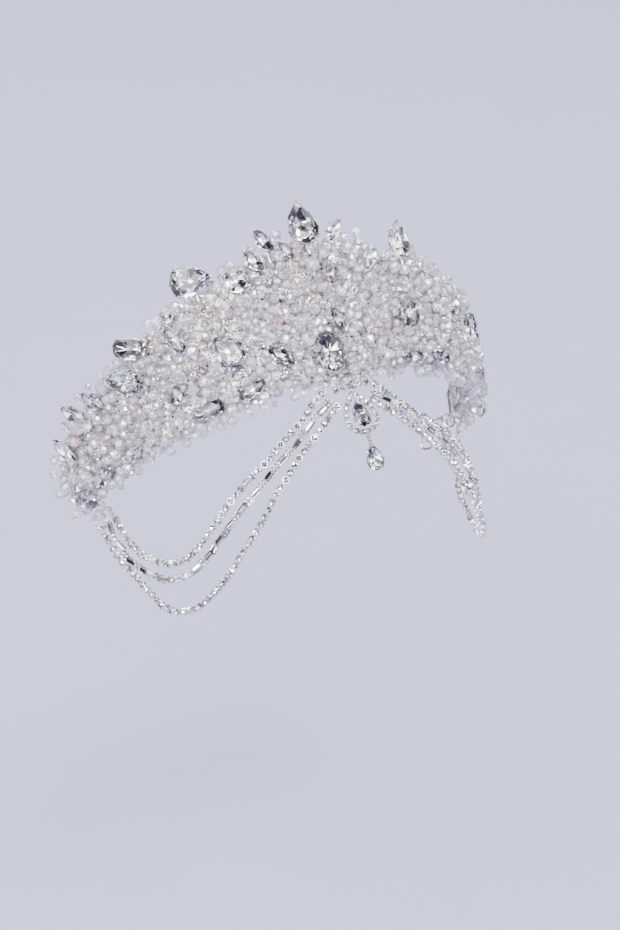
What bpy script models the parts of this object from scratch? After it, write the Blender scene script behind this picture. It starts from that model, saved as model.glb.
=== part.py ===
# Bridal headpiece: a soldered wire band dressed with a field of glass beads and cut stones,
# three drape chains on each side of the brow and a two-drop pendant in the middle.
# Metres, +Z up. The origin is the middle of the rim, where the band rests above the brow.
# +X is the wearer's left, -Y is the front. Numbers in tables and sizes named _MM are millimetres.

import math
import random

import bmesh
import bpy
from mathutils import Matrix, Vector

MM = 0.001
GAP_MM = 0.3

# The rim is nearly half a circle. Its plane falls backwards from the brow to the ears.
RIM_HALF_WIDTH_MM = 87.2
RIM_DEPTH_MM = 90.0
RIM_FALL = math.radians(47.9)
RIM_END_DEG = 86.0
LEAN_FRONT_DEG = 5.0
LEAN_END_DEG = 17.0

# Height of the bead field above the rim: degrees from the middle (+ is the wearer's left), height
CREST = (
    (-86, 18),
    (-75, 27),
    (-60, 34),
    (-41, 42.5),
    (-36, 46.5),
    (-27, 50),
    (-17, 53),
    (-11, 56.5),
    (-3, 59),
    (5, 57.5),
    (13, 55),
    (18, 49.5),
    (26, 48),
    (38, 44.5),
    (50, 40),
    (60, 34),
    (75, 27),
    (86, 18),
)

BAND_WIRE_MM = 1.2
LOWER_RAIL_UP_MM = 1.0
UPPER_RAIL_SHARE = 0.6
RAIL_OUT_MM = 0.6
RAIL_STEP_DEG = 4
STRUT_STEP_DEG = 12
END_LOOP_LENGTH_MM = 18.0
END_LOOP_WIDTH_MM = 9.0

FIELD_IN_MM = 1.6
FIELD_OUT_MM = 9.4
FIELD_STEP_DEG = 7
FIELD_END_DEG = 84.5
FIELD_HALF_GAP_DEG = 0.1
FIELD_BEAD_MM = 7.6
FIELD_BEAD_SINK_MM = 1.6
FIELD_ROW_MM = 9.5
FIELD_BEAD_STEP_DEG = 7.6

STONE_BACK_MM = FIELD_OUT_MM + GAP_MM
STEM_WIRE_MM = 1.4
STEM_HOLD_MM = 8.0

# Cut stones in their claw settings. Degrees from the middle (+ is the wearer's left), height of the
# centre above the rim, turn of the tip from straight up towards the wearer's left, and a wire stem
# where the stone stands above the beads.
STONES = (
    # name, cut, length, width, degrees, up, turn, stem
    ("crest_pear_centre", "pear", 18.5, 14.2, 0.0, 63.0, 3, True),
    ("crest_pear_left", "pear", 17.5, 13.0, 25.3, 52.5, 15, True),
    ("crest_pear_right", "pear", 17.5, 14.2, -28.2, 53.0, 100, True),
    ("brow_oval", "oval", 18.0, 13.0, -4.0, 7.4, 8, False),
    ("side_pear_left", "pear", 15.5, 10.5, 21.9, 19.2, 38, False),
    ("side_pear_right", "pear", 17.0, 13.5, -26.3, 20.6, -28, False),
    ("flank_pear_left", "pear", 17.5, 11.4, 54.0, 24.0, 57, False),
    ("flank_pear_right", "pear", 17.5, 11.4, -51.2, 28.8, -57, False),
    ("flank_oval_right", "oval", 16.0, 9.8, -46.4, 39.0, -62, False),
    ("crest_marquise_left", "marquise", 13.0, 6.5, 7.6, 58.0, 50, True),
    ("crest_marquise_right", "marquise", 12.5, 6.8, -9.9, 59.0, -19, True),
    ("crest_marquise_small", "marquise", 10.0, 5.2, -5.4, 52.4, -23, False),
    ("upper_marquise_right", "marquise", 12.5, 6.5, -13.6, 52.0, -25, False),
    ("upper_disc_right", "round", 10.5, 10.5, -19.0, 46.4, 0, False),
    ("upper_marquise_left", "marquise", 10.5, 6.0, 15.4, 44.6, 45, False),
    ("middle_marquise", "marquise", 10.0, 5.0, 2.9, 39.5, 12, False),
    ("brow_marquise", "marquise", 12.0, 6.0, 0.9, 20.0, -8, False),
    ("lower_marquise_right", "marquise", 13.5, 6.4, -15.1, 11.4, -42, False),
    ("side_marquise_right", "marquise", 14.5, 6.8, -36.4, 33.6, -17, False),
    ("side_small_right", "marquise", 9.5, 5.6, -41.1, 13.2, 28, False),
    ("side_marquise_left", "marquise", 13.0, 6.5, 44.6, 27.0, 40, False),
    ("crest_round_right", "round", 6.2, 6.2, -36.0, 44.0, 0, False),
    ("outer_marquise_left", "marquise", 13.5, 6.6, 63.0, 28.5, 40, False),
    ("outer_marquise_right", "marquise", 13.5, 6.6, -60.4, 29.0, -34, False),
    ("ear_marquise_left", "marquise", 14.0, 7.2, 69.5, 27.6, 42, True),
    ("ear_marquise_right", "marquise", 14.0, 7.2, -66.9, 30.0, -42, True),
    ("end_marquise_left", "marquise", 14.5, 7.4, 75.8, 19.4, 22, False),
    ("end_marquise_right", "marquise", 14.5, 7.4, -74.8, 20.6, -22, False),
    ("rim_marquise_left", "marquise", 13.0, 6.8, 19.0, 0.0, 96, False),
    ("rim_marquise_right", "marquise", 14.0, 7.0, -24.2, 2.4, 78, False),
    ("rim_pear_left", "pear", 13.0, 7.4, 29.6, 0.0, 100, False),
    ("rim_pear_right", "pear", 15.5, 7.4, -35.6, 1.8, -90, False),
    ("rim_small_left", "marquise", 10.5, 6.2, 57.3, 1.4, -84, False),
    ("rim_small_right", "marquise", 10.5, 6.2, -57.3, 1.4, 84, False),
    ("rim_end_left", "marquise", 14.0, 7.2, 68.4, 1.2, -80, False),
    ("rim_end_right", "marquise", 14.0, 7.2, -68.4, 1.2, 80, False),
    ("end_round_left", "round", 5.6, 5.6, 81.6, 3.4, 0, False),
    ("end_round_right", "round", 5.6, 5.6, -81.6, 3.4, 0, False),
    ("end_oval_left", "oval", 9.4, 8.4, 76.8, -1.6, 30, False),
    ("end_oval_right", "oval", 9.4, 8.4, -76.8, -1.6, -30, False),
)
LARGE_STONE_MM = 14.9
TABLE_SHARE = 0.55
STONE_GIRDLE_SHARE = 0.92
BACK_SHARE = 0.74
CLAW_OUT_SHARE = 1.04

# The pendant's line, from the cluster down the brow, as places (x, y, z)
BROW_LINE = (
    (0, -4.9, -1.7),
    (0, -8.4, -3.9),
    (-0.8, -12.0, -6.2),
    (-1.3, -18.0, -10.9),
    (-1.6, -24.2, -17.0),
    (-1.8, -29.4, -23.4),
    (-2.0, -33.4, -29.6),
)
CLUSTER_STONES = 5
CLUSTER_STONE_MM = 3.3
CLUSTER_PLATE_MM = 0.9
HANGER_WIRE_MM = 1.1
HANGER_LIFT_MM = 1.2
CHAIN_WIDTH_MM = 3.2
CHAIN_POINT_SPACING_MM = 6.4
HALO_WIRE_MM = 2.4
HALO_LENGTH_MM = 17.3
HALO_WIDTH_MM = 13.2
HALO_START_MM = 6.0
UPPER_DROP_MM = (12.0, 8.2)
UPPER_DROP_START_MM = 9.5
LOWER_DROP_MM = (11.6, 8.2)
EYELET_MM = 0.85
EYELET_WIRE_MM = 0.55
LINK_MM = 1.28
DROP_OVERLAP_MM = 0.5
BAIL_MM = 2.4
BROW_LIFT_MM = 1.5
BROW_STONE_MM = 3.4

CHAIN_RING_MM = 3.2
CHAIN_RING_WIRE_MM = 0.9
CHAIN_RING_DEG = 86.4
CHAIN_SPREAD_MM = 4.2
CHAIN_LEAD_MM = 5.0
LEFT_SAG_MM = 3.8
SAG_START_MM = 10.5
SAG_END_MM = 76.0

# Drape chains of one side, brow to ear, each as places (x, y, z). Each ends at its own spot on the
# ring that hangs from the rim. The wearer's left strands sag further down the brow.
DRAPES = {
    "upper": (
        (10.3, -6.1, -2.6),
        (16, -7.4, -5.2),
        (23, -10.6, -10.6),
        (32, -12.0, -16.8),
        (39, -12.4, -23.2),
        (48, -10.0, -32.6),
        (56, -7.0, -43.4),
        (61, -4.6, -52.6),
        (66, -1.8, -61.2),
        (70, 4.4, -69.6),
        (74, 13.0, -74.4),
        (77, 24.0, -76.8),
        (78.6, 34.0, -76.8),
        (79.6, 41.5, -74.4),
    ),
    "middle": (
        (9.1, -8.9, -5.2),
        (16, -12.0, -8.4),
        (23, -14.4, -12.8),
        (29, -15.6, -18.2),
        (36, -15.8, -24.0),
        (43, -15.2, -31.4),
        (51, -13.2, -41.6),
        (58, -10.0, -52.4),
        (64, -5.6, -64.4),
        (69, 0.6, -74.0),
        (73.5, 9.0, -80.0),
        (77, 19.0, -82.8),
        (79.4, 29.0, -82.8),
        (82, 38.0, -80.0),
    ),
    "lower": (
        (6.2, -10.6, -6.9),
        (13, -14.4, -10.0),
        (21, -17.6, -15.4),
        (28, -19.2, -20.8),
        (35, -20.4, -28.4),
        (42, -20.8, -37.6),
        (48, -20.6, -47.8),
        (54, -18.6, -58.4),
        (60, -15.2, -70.4),
        (65, -10.4, -80.2),
        (70, -2.4, -89.6),
        (75, 9.6, -94.4),
        (77.5, 20.0, -92.6),
        (80, 32.0, -88.4),
        (83.4, 40.6, -83.6),
        (85.6, 45.0, -77.6),
    ),
}

BEAD_SEED = 7


def clear_scene():
    for obj in list(bpy.data.objects):
        bpy.data.objects.remove(obj, do_unlink=True)


def new_collection(name):
    collection = bpy.data.collections.new(name)
    bpy.context.scene.collection.children.link(collection)
    return collection


def material(name, colour, roughness, metallic):
    mat = bpy.data.materials.new(name)
    mat.use_nodes = True
    shader = mat.node_tree.nodes["Principled BSDF"]
    shader.inputs["Base Color"].default_value = (*colour, 1.0)
    shader.inputs["Roughness"].default_value = roughness
    shader.inputs["Metallic"].default_value = metallic
    return mat


def between(table, x):
    """Straight-line reading of a table of (x, y) rows."""
    for (x0, y0), (x1, y1) in zip(table, table[1:]):
        if x <= x1:
            return y0 + (y1 - y0) * (x - x0) / (x1 - x0)
    return table[-1][1]


def crest_height(degrees):
    return between(CREST, degrees)


def rim_axes(degrees):
    """Rim point and the side, up and out directions of the crown there, in millimetres."""
    angle = math.radians(degrees)
    back = Vector((0, math.cos(RIM_FALL), -math.sin(RIM_FALL)))
    rise = Vector((0, math.sin(RIM_FALL), math.cos(RIM_FALL)))
    across = Vector((1, 0, 0))
    point = across * (RIM_HALF_WIDTH_MM * math.sin(angle)) + back * (RIM_DEPTH_MM * (1 - math.cos(angle)))
    away = across * (RIM_DEPTH_MM * math.sin(angle)) - back * (RIM_HALF_WIDTH_MM * math.cos(angle))
    away.normalize()
    share = (abs(degrees) / RIM_END_DEG) ** 1.5
    lean = math.radians(LEAN_FRONT_DEG + (LEAN_END_DEG - LEAN_FRONT_DEG) * share)
    up = rise * math.cos(lean) + away * math.sin(lean)
    out = away * math.cos(lean) - rise * math.sin(lean)
    return point, up.cross(out).normalized(), up, out


def crown_place(degrees, up_mm, out_mm):
    point, _, up, out = rim_axes(degrees)
    return (point + up * up_mm + out * out_mm) * MM


def smooth_route(points, spacing):
    """Evenly spaced points on a Catmull-Rom curve through the given ones."""
    ends = [2 * points[0] - points[1], *points, 2 * points[-1] - points[-2]]
    fine = []
    steps = 12
    for a, b, c, d in zip(ends, ends[1:], ends[2:], ends[3:]):
        for i in range(steps):
            t = i / steps
            fine.append(
                0.5 * (2 * b + (c - a) * t + (2 * a - 5 * b + 4 * c - d) * t**2 + (3 * b - a - 3 * c + d) * t**3)
            )
    fine.append(points[-1])
    along = [0.0]
    for a, b in zip(fine, fine[1:]):
        along.append(along[-1] + (b - a).length)
    count = max(2, round(along[-1] / spacing))
    route = []
    k = 0
    for i in range(count + 1):
        target = along[-1] * i / count
        while k < len(along) - 2 and along[k + 1] < target:
            k += 1
        span = along[k + 1] - along[k]
        route.append(fine[k].lerp(fine[k + 1], (target - along[k]) / span))
    return route


def add_object(name, data, collection, mat):
    obj = bpy.data.objects.new(name, data)
    collection.objects.link(obj)
    data.materials.append(mat)
    return obj


def tube(name, points, diameter, collection, mat, closed=False, resolution=2):
    """A wire or chain: a poly curve with a round section and filled ends."""
    curve = bpy.data.curves.new(name, "CURVE")
    curve.dimensions = "3D"
    curve.bevel_depth = diameter / 2
    curve.bevel_resolution = resolution
    curve.use_fill_caps = not closed
    spline = curve.splines.new("POLY")
    spline.points.add(len(points) - 1)
    for slot, point in zip(spline.points, points):
        slot.co = (*point, 1.0)
    spline.use_cyclic_u = closed
    return add_object(name, curve, collection, mat)


def as_mesh(obj, collection):
    """The curve as a mesh object with its caps welded. The curve is removed."""
    graph = bpy.context.evaluated_depsgraph_get()
    mesh = bpy.data.meshes.new_from_object(obj.evaluated_get(graph))
    bm = bmesh.new()
    bm.from_mesh(mesh)
    bmesh.ops.remove_doubles(bm, verts=bm.verts, dist=1e-6)
    bm.to_mesh(mesh)
    bm.free()
    name = obj.name
    place = obj.matrix_world.copy()
    bpy.data.objects.remove(obj, do_unlink=True)
    solid = bpy.data.objects.new(name, mesh)
    solid.matrix_world = place
    collection.objects.link(solid)
    return solid


def wire_solid(name, points, diameter, collection, mat, closed=False, resolution=1):
    return as_mesh(tube(name, points, diameter, collection, mat, closed, resolution), collection)


def fuse(target, others, name):
    """Unites target with others, which stay as hidden helpers."""
    group = bpy.data.collections.new(name)
    helpers.children.link(group)
    for other in others:
        for holder in list(other.users_collection):
            holder.objects.unlink(other)
        group.objects.link(other)
        other.hide_render = True
        other.display_type = "WIRE"
    union = target.modifiers.new("Union", "BOOLEAN")
    union.operation = "UNION"
    union.operand_type = "COLLECTION"
    union.collection = group
    union.solver = "EXACT"
    return target


def loft(name, rings, collection, mat):
    """A closed solid through rings of equal point counts."""
    bm = bmesh.new()
    rows = [[bm.verts.new(point) for point in ring] for ring in rings]
    count = len(rings[0])
    for low, high in zip(rows, rows[1:]):
        for i in range(count):
            j = (i + 1) % count
            bm.faces.new((low[i], low[j], high[j], high[i]))
    bm.faces.new(rows[0][::-1])
    bm.faces.new(rows[-1])
    bmesh.ops.recalc_face_normals(bm, faces=bm.faces)
    mesh = bpy.data.meshes.new(name)
    bm.to_mesh(mesh)
    bm.free()
    return add_object(name, mesh, collection, mat)


def outline(cut, length, width, count):
    """Points of a stone's outline, tip or top first, as (across, along)."""
    points = []
    for i in range(count):
        t = 2 * math.pi * i / count
        across = math.sin(t)
        if cut == "pear":
            across *= math.sin(t / 2) / 0.77
        if cut == "marquise":
            across *= abs(math.sin(t)) ** 0.8
        points.append((across * width / 2, math.cos(t) * length / 2))
    return points


def stone_depth(width):
    return 1.1 + 0.34 * width


def claw_places(cut, count):
    """Outline points that carry a claw."""
    if cut in ("pear", "marquise"):
        return {0, count // 2 - 2, count // 2 + 2} if cut == "pear" else {0, count // 2}
    return {count // 8, 3 * count // 8, 5 * count // 8, 7 * count // 8}


def cut_stone(name, cut, length, width, frame, collection, mat, depth=None):
    """A faceted stone fused to its claw setting, its back at the frame's origin."""
    count = 16 if length > LARGE_STONE_MM else 12
    depth = depth or stone_depth(width)
    shape = outline(cut, length, width, count)
    claws = claw_places(cut, count)
    bm = bmesh.new()

    def ring(points, share, height):
        return [bm.verts.new(frame @ (Vector((x * share, y * share, height)) * MM)) for x, y in points]

    back = ring(shape, BACK_SHARE, 0)
    rim = []
    for i, (x, y) in enumerate(shape):
        share = CLAW_OUT_SHARE if i in claws else 1.0
        height = depth * (0.72 if i in claws else 0.44)
        rim.append(bm.verts.new(frame @ (Vector((x * share, y * share, height)) * MM)))
    girdle = ring(shape, STONE_GIRDLE_SHARE, depth * 0.5)
    table = ring(shape[::2], TABLE_SHARE, depth)
    for low, high in ((back, rim), (rim, girdle)):
        for i in range(count):
            j = (i + 1) % count
            bm.faces.new((low[i], low[j], high[j], high[i]))
    half = count // 2
    for i in range(half):
        before = girdle[(2 * i - 1) % count]
        after = girdle[(2 * i + 1) % count]
        bm.faces.new((before, girdle[2 * i], table[i]))
        bm.faces.new((girdle[2 * i], after, table[i]))
        bm.faces.new((after, table[(i + 1) % half], table[i]))
    bm.faces.new(back[::-1])
    bm.faces.new(table)
    bmesh.ops.triangulate(bm, faces=bm.faces)
    bmesh.ops.recalc_face_normals(bm, faces=bm.faces)
    mesh = bpy.data.meshes.new(name)
    bm.to_mesh(mesh)
    bm.free()
    return add_object(name, mesh, collection, mat)


def frame_at(place, across, along, out):
    matrix = Matrix((across, along, out)).transposed().to_4x4()
    matrix.translation = place
    return matrix


def crown_frame(degrees, up_mm, out_mm, turn_deg):
    """Frame on the crown whose second axis is the stone's length, turned from up."""
    point, side, up, out = rim_axes(degrees)
    turn = math.radians(turn_deg)
    along = up * math.cos(turn) + side * math.sin(turn)
    across = side * math.cos(turn) - up * math.sin(turn)
    return frame_at((point + up * up_mm + out * out_mm) * MM, across, along, out)


def make_headband():
    """Two rails, struts between them and an end loop at each ear, soldered into one piece."""
    wire = BAND_WIRE_MM * MM
    steps = range(-int(RIM_END_DEG) - 2, int(RIM_END_DEG) + 3, RAIL_STEP_DEG)
    lower = [crown_place(a, LOWER_RAIL_UP_MM, RAIL_OUT_MM) for a in steps]
    band = wire_solid("headband_frame", lower, wire, parts, silver)
    upper_steps = range(-84, 85, RAIL_STEP_DEG)
    upper = [crown_place(a, crest_height(a) * UPPER_RAIL_SHARE, RAIL_OUT_MM) for a in upper_steps]
    others = [wire_solid("upper_rail", upper, wire, helpers, silver)]
    for a in range(-84, 85, STRUT_STEP_DEG):
        ends = [
            crown_place(a, LOWER_RAIL_UP_MM, RAIL_OUT_MM),
            crown_place(a, crest_height(a) * UPPER_RAIL_SHARE, RAIL_OUT_MM),
        ]
        others.append(wire_solid(f"strut_{a}", ends, wire, helpers, silver))
    for side in (-1, 1):
        others.append(end_loop(side, wire))
    fuse(band, others, "headband_pieces")
    return band


def end_loop(side, wire):
    """A long wire loop that curls in behind the ear, for a ribbon or a pin."""
    start = crown_place(side * (RIM_END_DEG + 2), LOWER_RAIL_UP_MM, RAIL_OUT_MM)
    down = Vector((-0.42 * side, 0.30, -0.86)).normalized()
    rise = Vector((0, math.sin(RIM_FALL), math.cos(RIM_FALL)))
    across = (rise - down * rise.dot(down)).normalized()
    curl = across.cross(down).normalized() * side
    points = []
    count = 16
    for i in range(count):
        t = 2 * math.pi * i / count
        along = END_LOOP_LENGTH_MM / 2 * (1 - math.cos(t))
        wide = END_LOOP_WIDTH_MM / 2 * math.sin(t)
        inward = 2.4 * (along / END_LOOP_LENGTH_MM) ** 2
        points.append(start + (down * along + across * wide + curl * inward) * MM)
    return wire_solid(f"end_loop_{side}", points, wire, helpers, silver, closed=True)


def field_section(degrees):
    """Section of the bead field: up and out, going round."""
    top = crest_height(degrees)
    return (
        (-1.0, FIELD_IN_MM + 0.4),
        (-3.2, 4.6),
        (-2.4, 7.8),
        (1.6, FIELD_OUT_MM),
        (top * 0.5, FIELD_OUT_MM),
        (top - 6.0, FIELD_OUT_MM),
        (top - 1.6, 8.2),
        (top, 5.4),
        (top - 1.4, 2.8),
        (top - 6.0, FIELD_IN_MM),
        (top * 0.5, FIELD_IN_MM),
    )


def field_places(side):
    """Places of the large beads on one half, clear of the stones and of each other."""
    dice = random.Random(BEAD_SEED + side)
    taken = []
    row = 0
    up = 6.0
    while up < 57:
        start = 4.0 if row % 2 else 7.8
        a = start
        while a < FIELD_END_DEG - 3:
            degrees = side * (a + dice.uniform(-0.8, 0.8))
            height = up + dice.uniform(-0.8, 0.8)
            a += FIELD_BEAD_STEP_DEG
            if height > crest_height(degrees) - 5.5:
                continue
            if all(clear_of_stone(degrees, height, stone) for stone in STONES):
                taken.append((degrees, height))
        up += FIELD_ROW_MM
        row += 1
    return taken


def clear_of_stone(degrees, height, stone):
    """True where a large bead stands clear of a stone's outline and of its stem."""
    _, _, length, width, centre, up, turn, stem = stone
    mm_per_degree = math.radians(RIM_HALF_WIDTH_MM + FIELD_OUT_MM)
    across = (degrees - centre) * mm_per_degree
    rise = height - up
    angle = math.radians(turn)
    along = rise * math.cos(angle) + across * math.sin(angle)
    beside = across * math.cos(angle) - rise * math.sin(angle)
    bead = FIELD_BEAD_MM / 2 + 0.6
    inside = (along / (length / 2 + bead)) ** 2 + (beside / (width / 2 + bead)) ** 2
    if stem and abs(across) < bead + STEM_WIRE_MM and -length - STEM_HOLD_MM - bead < rise < 0:
        return False
    return inside > 1


def make_bead_field(side, name):
    """One half of the bead field: the packed beads as one body with its largest beads on it."""
    steps = [FIELD_HALF_GAP_DEG]
    while steps[-1] + FIELD_STEP_DEG < FIELD_END_DEG - 1:
        steps.append(round(steps[-1] + FIELD_STEP_DEG))
    steps.append(FIELD_END_DEG)
    rings = [[crown_place(side * a, up, out) for up, out in field_section(side * a)] for a in steps]
    field = loft(name, rings, parts, crystal)
    beads = []
    for i, (degrees, up) in enumerate(field_places(side)):
        place = crown_place(degrees, up, FIELD_OUT_MM - FIELD_BEAD_SINK_MM)
        bm = bmesh.new()
        bmesh.ops.create_uvsphere(bm, u_segments=10, v_segments=5, radius=FIELD_BEAD_MM / 2 * MM)
        mesh = bpy.data.meshes.new(f"large_bead_{side}_{i}")
        bm.to_mesh(mesh)
        bm.free()
        bead = add_object(mesh.name, mesh, helpers, crystal)
        frame = crown_frame(degrees, up, FIELD_OUT_MM - FIELD_BEAD_SINK_MM, 20 * i)
        bead.matrix_world = Matrix.Translation(place) @ frame.to_3x3().to_4x4()
        beads.append(bead)
    fuse(field, beads, name + "_beads")
    return field


def make_stones():
    for name, cut, length, width, degrees, up, turn, stem in STONES:
        frame = crown_frame(degrees, up, STONE_BACK_MM, turn)
        stone = cut_stone(name, cut, length, width, frame, parts, stone_mat)
        if not stem:
            continue
        lane = STONE_BACK_MM + STEM_WIRE_MM / 2
        foot = min(up - length / 2 - 1, crest_height(degrees) - STEM_HOLD_MM)
        ends = [crown_place(degrees, up, lane), crown_place(degrees, foot, lane)]
        wire = wire_solid(name + "_stem", ends, STEM_WIRE_MM * MM, helpers, silver)
        fuse(stone, [wire], name + "_stem_group")


def brow_point(along_mm):
    """Point, downward direction and outward direction on the pendant's line."""
    line = [Vector(place) for place in BROW_LINE]
    route = smooth_route(line, 0.5)
    walked = 0.0
    for a, b in zip(route, route[1:]):
        step = (b - a).length
        if walked + step >= along_mm:
            break
        walked += step
    down = (b - a).normalized()
    point = a + down * (along_mm - walked)
    out = Vector((0, down.z, -down.y)).normalized()
    if out.y > 0:
        out = -out
    return point, down, out


def brow_frame(along_mm, lift_mm):
    """Frame on the pendant's line: across, towards the crown, and out."""
    point, down, out = brow_point(along_mm)
    along = -down
    return frame_at((point + out * lift_mm) * MM, along.cross(out).normalized(), along, out)


def make_cluster():
    """A soldered row of round stones under the middle of the rim, with the wire that the halo hangs at."""
    pitch = CLUSTER_STONE_MM + 0.1
    half = (CLUSTER_STONES - 1) / 2
    frame = brow_frame(0.6, 0.4)
    plate_points = outline("oval", pitch * (CLUSTER_STONES - 0.4), CLUSTER_STONE_MM * 0.9, 12)
    rings = []
    for height in (0, CLUSTER_PLATE_MM):
        rings.append([frame @ (Vector((along, across, height)) * MM) for across, along in plate_points])
    plate = loft("centre_cluster", rings, parts, silver)
    stones = []
    for i in range(CLUSTER_STONES):
        place = frame @ Matrix.Translation(Vector(((i - half) * pitch, 0, CLUSTER_PLATE_MM * 0.5)) * MM)
        name = f"cluster_stone_{i}"
        stones.append(cut_stone(name, "round", CLUSTER_STONE_MM, CLUSTER_STONE_MM, place, helpers, stone_mat, 1.9))
    reach = HALO_START_MM - HALO_WIRE_MM / 2 - GAP_MM
    ends = [brow_frame(a, HANGER_LIFT_MM).translation for a in (0.6, reach)]
    stones.append(wire_solid("cluster_hanger", ends, HANGER_WIRE_MM * MM, helpers, silver))
    fuse(plate, stones, "cluster_stones")


def ring_points(frame, radius_mm, count=12):
    points = []
    for i in range(count):
        t = 2 * math.pi * i / count
        points.append(frame @ (Vector((math.cos(t), math.sin(t), 0)) * radius_mm * MM))
    return points


def make_pendant():
    """A teardrop inside a halo of chain, a link, and a second teardrop below."""
    halo_points = []
    for across, along in outline("pear", HALO_LENGTH_MM, HALO_WIDTH_MM, 20):
        frame = brow_frame(HALO_START_MM + HALO_LENGTH_MM / 2 - along, BROW_LIFT_MM)
        halo_points.append(frame @ (Vector((across, 0, 0)) * MM))
    halo = wire_solid("pendant_halo", halo_points, HALO_WIRE_MM * MM, parts, silver, True, 2)

    length, width = UPPER_DROP_MM
    frame = brow_frame(UPPER_DROP_START_MM + length / 2, 0.3)
    cut_stone("pendant_drop_upper", "pear", length, width, frame, parts, stone_mat, BROW_STONE_MM)

    eyelet_at = HALO_START_MM + HALO_LENGTH_MM + (HALO_WIRE_MM + EYELET_WIRE_MM) / 2 + GAP_MM
    wire = EYELET_WIRE_MM * MM
    points = ring_points(brow_frame(eyelet_at, BROW_LIFT_MM), EYELET_MM, 10)
    fuse(halo, [wire_solid("halo_eyelet", points, wire, helpers, silver, closed=True)], "halo_eyelet_group")

    link_at = brow_frame(eyelet_at + LINK_MM, BROW_LIFT_MM)
    turned = link_at @ Matrix.Rotation(math.pi / 2, 4, "Y")
    wire_solid("pendant_link", ring_points(turned, LINK_MM, 10), wire, parts, silver, closed=True)

    lower_eyelet = eyelet_at + 2 * LINK_MM
    length, width = LOWER_DROP_MM
    frame = brow_frame(lower_eyelet + EYELET_MM - DROP_OVERLAP_MM + length / 2, 0.3)
    drop = cut_stone("pendant_drop_lower", "pear", length, width, frame, parts, stone_mat, BROW_STONE_MM)
    points = ring_points(brow_frame(lower_eyelet, BROW_LIFT_MM), EYELET_MM, 10)
    eyelet = wire_solid("drop_eyelet", points, wire, helpers, silver, closed=True)
    ends = [brow_frame(lower_eyelet + EYELET_MM + a, BROW_LIFT_MM).translation for a in (0, BAIL_MM)]
    bail = wire_solid("drop_bail", ends, wire, helpers, silver)
    fuse(drop, [eyelet, bail], "drop_eyelet_group")


def sagged(side, x, y, z):
    """A place of a drape chain on its own side, lower on the wearer's left."""
    share = min(max((x - SAG_START_MM) / (SAG_END_MM - SAG_START_MM), 0), 1) ** 0.7
    drop = LEFT_SAG_MM * math.sin(math.pi * share) if side > 0 else 0
    return Vector((x * side, y - drop * 0.3, z - drop * 0.95))


def make_drapes():
    """Three chains on each side, from the cluster to a ring on the rim's end."""
    hang = CHAIN_RING_MM - (CHAIN_RING_WIRE_MM + BAND_WIRE_MM) / 2 - GAP_MM
    outer = CHAIN_RING_MM + CHAIN_RING_WIRE_MM / 2
    for side, word in ((1, "left"), (-1, "right")):
        point, along_rim, up, out = rim_axes(side * CHAIN_RING_DEG)
        centre = point + up * (LOWER_RAIL_UP_MM - hang) + out * RAIL_OUT_MM
        for (level, points), beside in zip(DRAPES.items(), (-CHAIN_SPREAD_MM, 0, CHAIN_SPREAD_MM)):
            nearest = max(abs(beside) - CHAIN_WIDTH_MM / 2, 0)
            end = centre + out * beside - up * (math.sqrt(outer**2 - nearest**2) + GAP_MM)
            route = [sagged(side, *place) for place in points]
            route += [end - up * CHAIN_LEAD_MM, end]
            route = smooth_route(route, CHAIN_POINT_SPACING_MM)
            name = f"drape_chain_{level}_{word}"
            tube(name, [p * MM for p in route], CHAIN_WIDTH_MM * MM, parts, silver)
        frame = frame_at(centre * MM, out, up, along_rim)
        points = ring_points(frame, CHAIN_RING_MM)
        wire_solid(f"chain_ring_{word}", points, CHAIN_RING_WIRE_MM * MM, parts, silver, closed=True)


clear_scene()
parts = new_collection("bridal_headpiece")
helpers = new_collection("helpers")
silver = material("silver plated metal", (0.78, 0.76, 0.73), 0.22, 1.0)
crystal = material("clear glass beads", (0.86, 0.87, 0.90), 0.12, 0.0)
stone_mat = material("foil backed cut glass", (0.90, 0.92, 0.95), 0.06, 0.3)

make_headband()
make_bead_field(1, "bead_field_left")
make_bead_field(-1, "bead_field_right")
make_stones()
make_cluster()
make_pendant()
make_drapes()

for obj in parts.objects:
    if obj.type == "MESH" and obj.name.startswith(("headband", "chain_ring", "pendant_link")):
        obj.data.shade_smooth()
        obj.data.set_sharp_from_angle(angle=math.radians(40))
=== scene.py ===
# Looks of a bridal headpiece: a wire band dressed with clear glass beads and foil backed stones,
# drape chains of set stones and a pendant of two drops. Metres, +Z up, +X the wearer's left.
# Sizes and places named _MM are millimetres on the crown: degrees round the rim from its middle,
# height above the rim, and distance out from it.

import math
import random
from collections import namedtuple

import bpy
import numpy as np
from bpy.props import FloatProperty, FloatVectorProperty, IntProperty, PointerProperty
from mathutils import Matrix, Vector


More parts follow.
